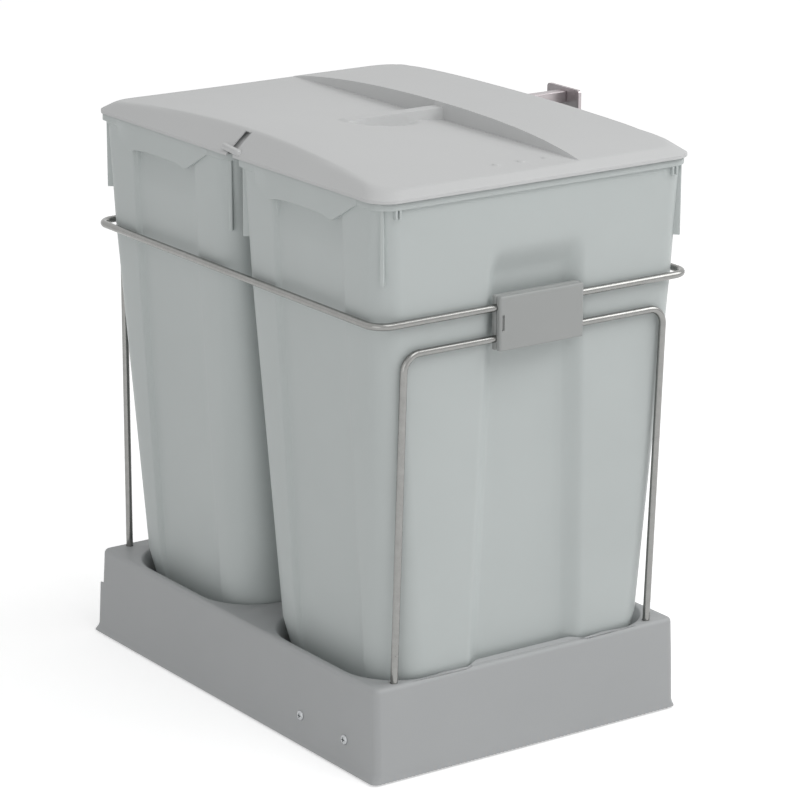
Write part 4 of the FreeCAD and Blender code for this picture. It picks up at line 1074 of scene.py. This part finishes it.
for nodeName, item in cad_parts.items():
    kind = nodeName.removesuffix("_left").removesuffix("_right")
    if kind in nodeFinishes:
        item.data.materials.clear()
        item.data.materials.append(finishes[nodeFinishes[kind]])
print("kept nodes dressed")


# Studio in metres: a pale floor and sky, a wide key above right, soft panels high in front and low left
studio = {
    "floorTone": "#F4F4F4",
    # light the floor seems to give off where it is seen, so that paper reads white under a plain light
    "floorGlow": 0.52,
    "floorSize": 12.0,
    "skyTone": "#FFFFFF",
    "skyLight": 0.46,
    "aim": (0, 0, 0.25),
    # name, power, size across and place of each soft panel
    "panels": (("keyPanel", 40.0, 2.0, (2.6, -1.5, 2.5)),
               ("highPanel", 17.0, 1.6, (0.2, -1.9, 2.7)),
               ("lowPanel", 10.0, 2.0, (-2.5, -1.3, 0.6))),
}


def areaLight(name, power, size, spot, aim):
    data = bpy.data.lights.new(name, "AREA")
    data.energy = power
    data.size = size
    lamp = bpy.data.objects.new(name, data)
    lamp.location = spot
    lamp.rotation_euler = (Vector(aim) - Vector(spot)).to_track_quat("-Z", "Y").to_euler()
    scene.collection.objects.link(lamp)


# 1 where the camera sees it, straight or in a gloss or through glass, and 0 for light on the object
def seenRays(tree):
    rays = addNode(tree, "ShaderNodeLightPath").outputs
    through = addNode(tree, "ShaderNodeMath", {"operation": "MAXIMUM"},
                      {0: rays["Is Glossy Ray"], 1: rays["Is Transmission Ray"]})
    seen = addNode(tree, "ShaderNodeMath", {"operation": "MAXIMUM"},
                   {0: rays["Is Camera Ray"], 1: through.outputs["Value"]})
    return seen.outputs["Value"]


def makeStudio(settings):
    half = settings["floorSize"] / 2
    mesh = bpy.data.meshes.new("studioFloor")
    corners = [(-half, -half, 0), (half, -half, 0), (half, half, 0), (-half, half, 0)]
    mesh.from_pydata(corners, [], [(0, 1, 2, 3)])
    floor = bpy.data.objects.new("studioFloor", mesh)
    scene.collection.objects.link(floor)
    material, tree = newFinish("paleStudioPaper")
    paper = addNode(tree, "ShaderNodeBsdfDiffuse", {"Color": linear(settings["floorTone"])})
    bright = addNode(tree, "ShaderNodeMath", {"operation": "MULTIPLY", 1: settings["floorGlow"]},
                     {0: seenRays(tree)})
    glow = addNode(tree, "ShaderNodeEmission", links={"Strength": bright.outputs["Value"]})
    both = addNode(tree, "ShaderNodeAddShader",
                   links={0: paper.outputs["BSDF"], 1: glow.outputs["Emission"]})
    addNode(tree, "ShaderNodeOutputMaterial", links={"Surface": both.outputs["Shader"]})
    mesh.materials.append(material)
    world = bpy.data.worlds.new("paleSky")
    world.use_nodes = True
    tree = world.node_tree
    tree.nodes.clear()
    level = addNode(tree, "ShaderNodeMapRange", {"To Min": settings["skyLight"], "To Max": 1.0},
                    {"Value": seenRays(tree)})
    sky = addNode(tree, "ShaderNodeBackground", {"Color": linear(settings["skyTone"])},
                  {"Strength": level.outputs["Result"]})
    addNode(tree, "ShaderNodeOutputWorld", links={"Surface": sky.outputs["Background"]})
    scene.world = world
    for name, power, size, spot in settings["panels"]:
        areaLight(name, power, size, spot, settings["aim"])


makeStudio(studio)
print("studio lit")
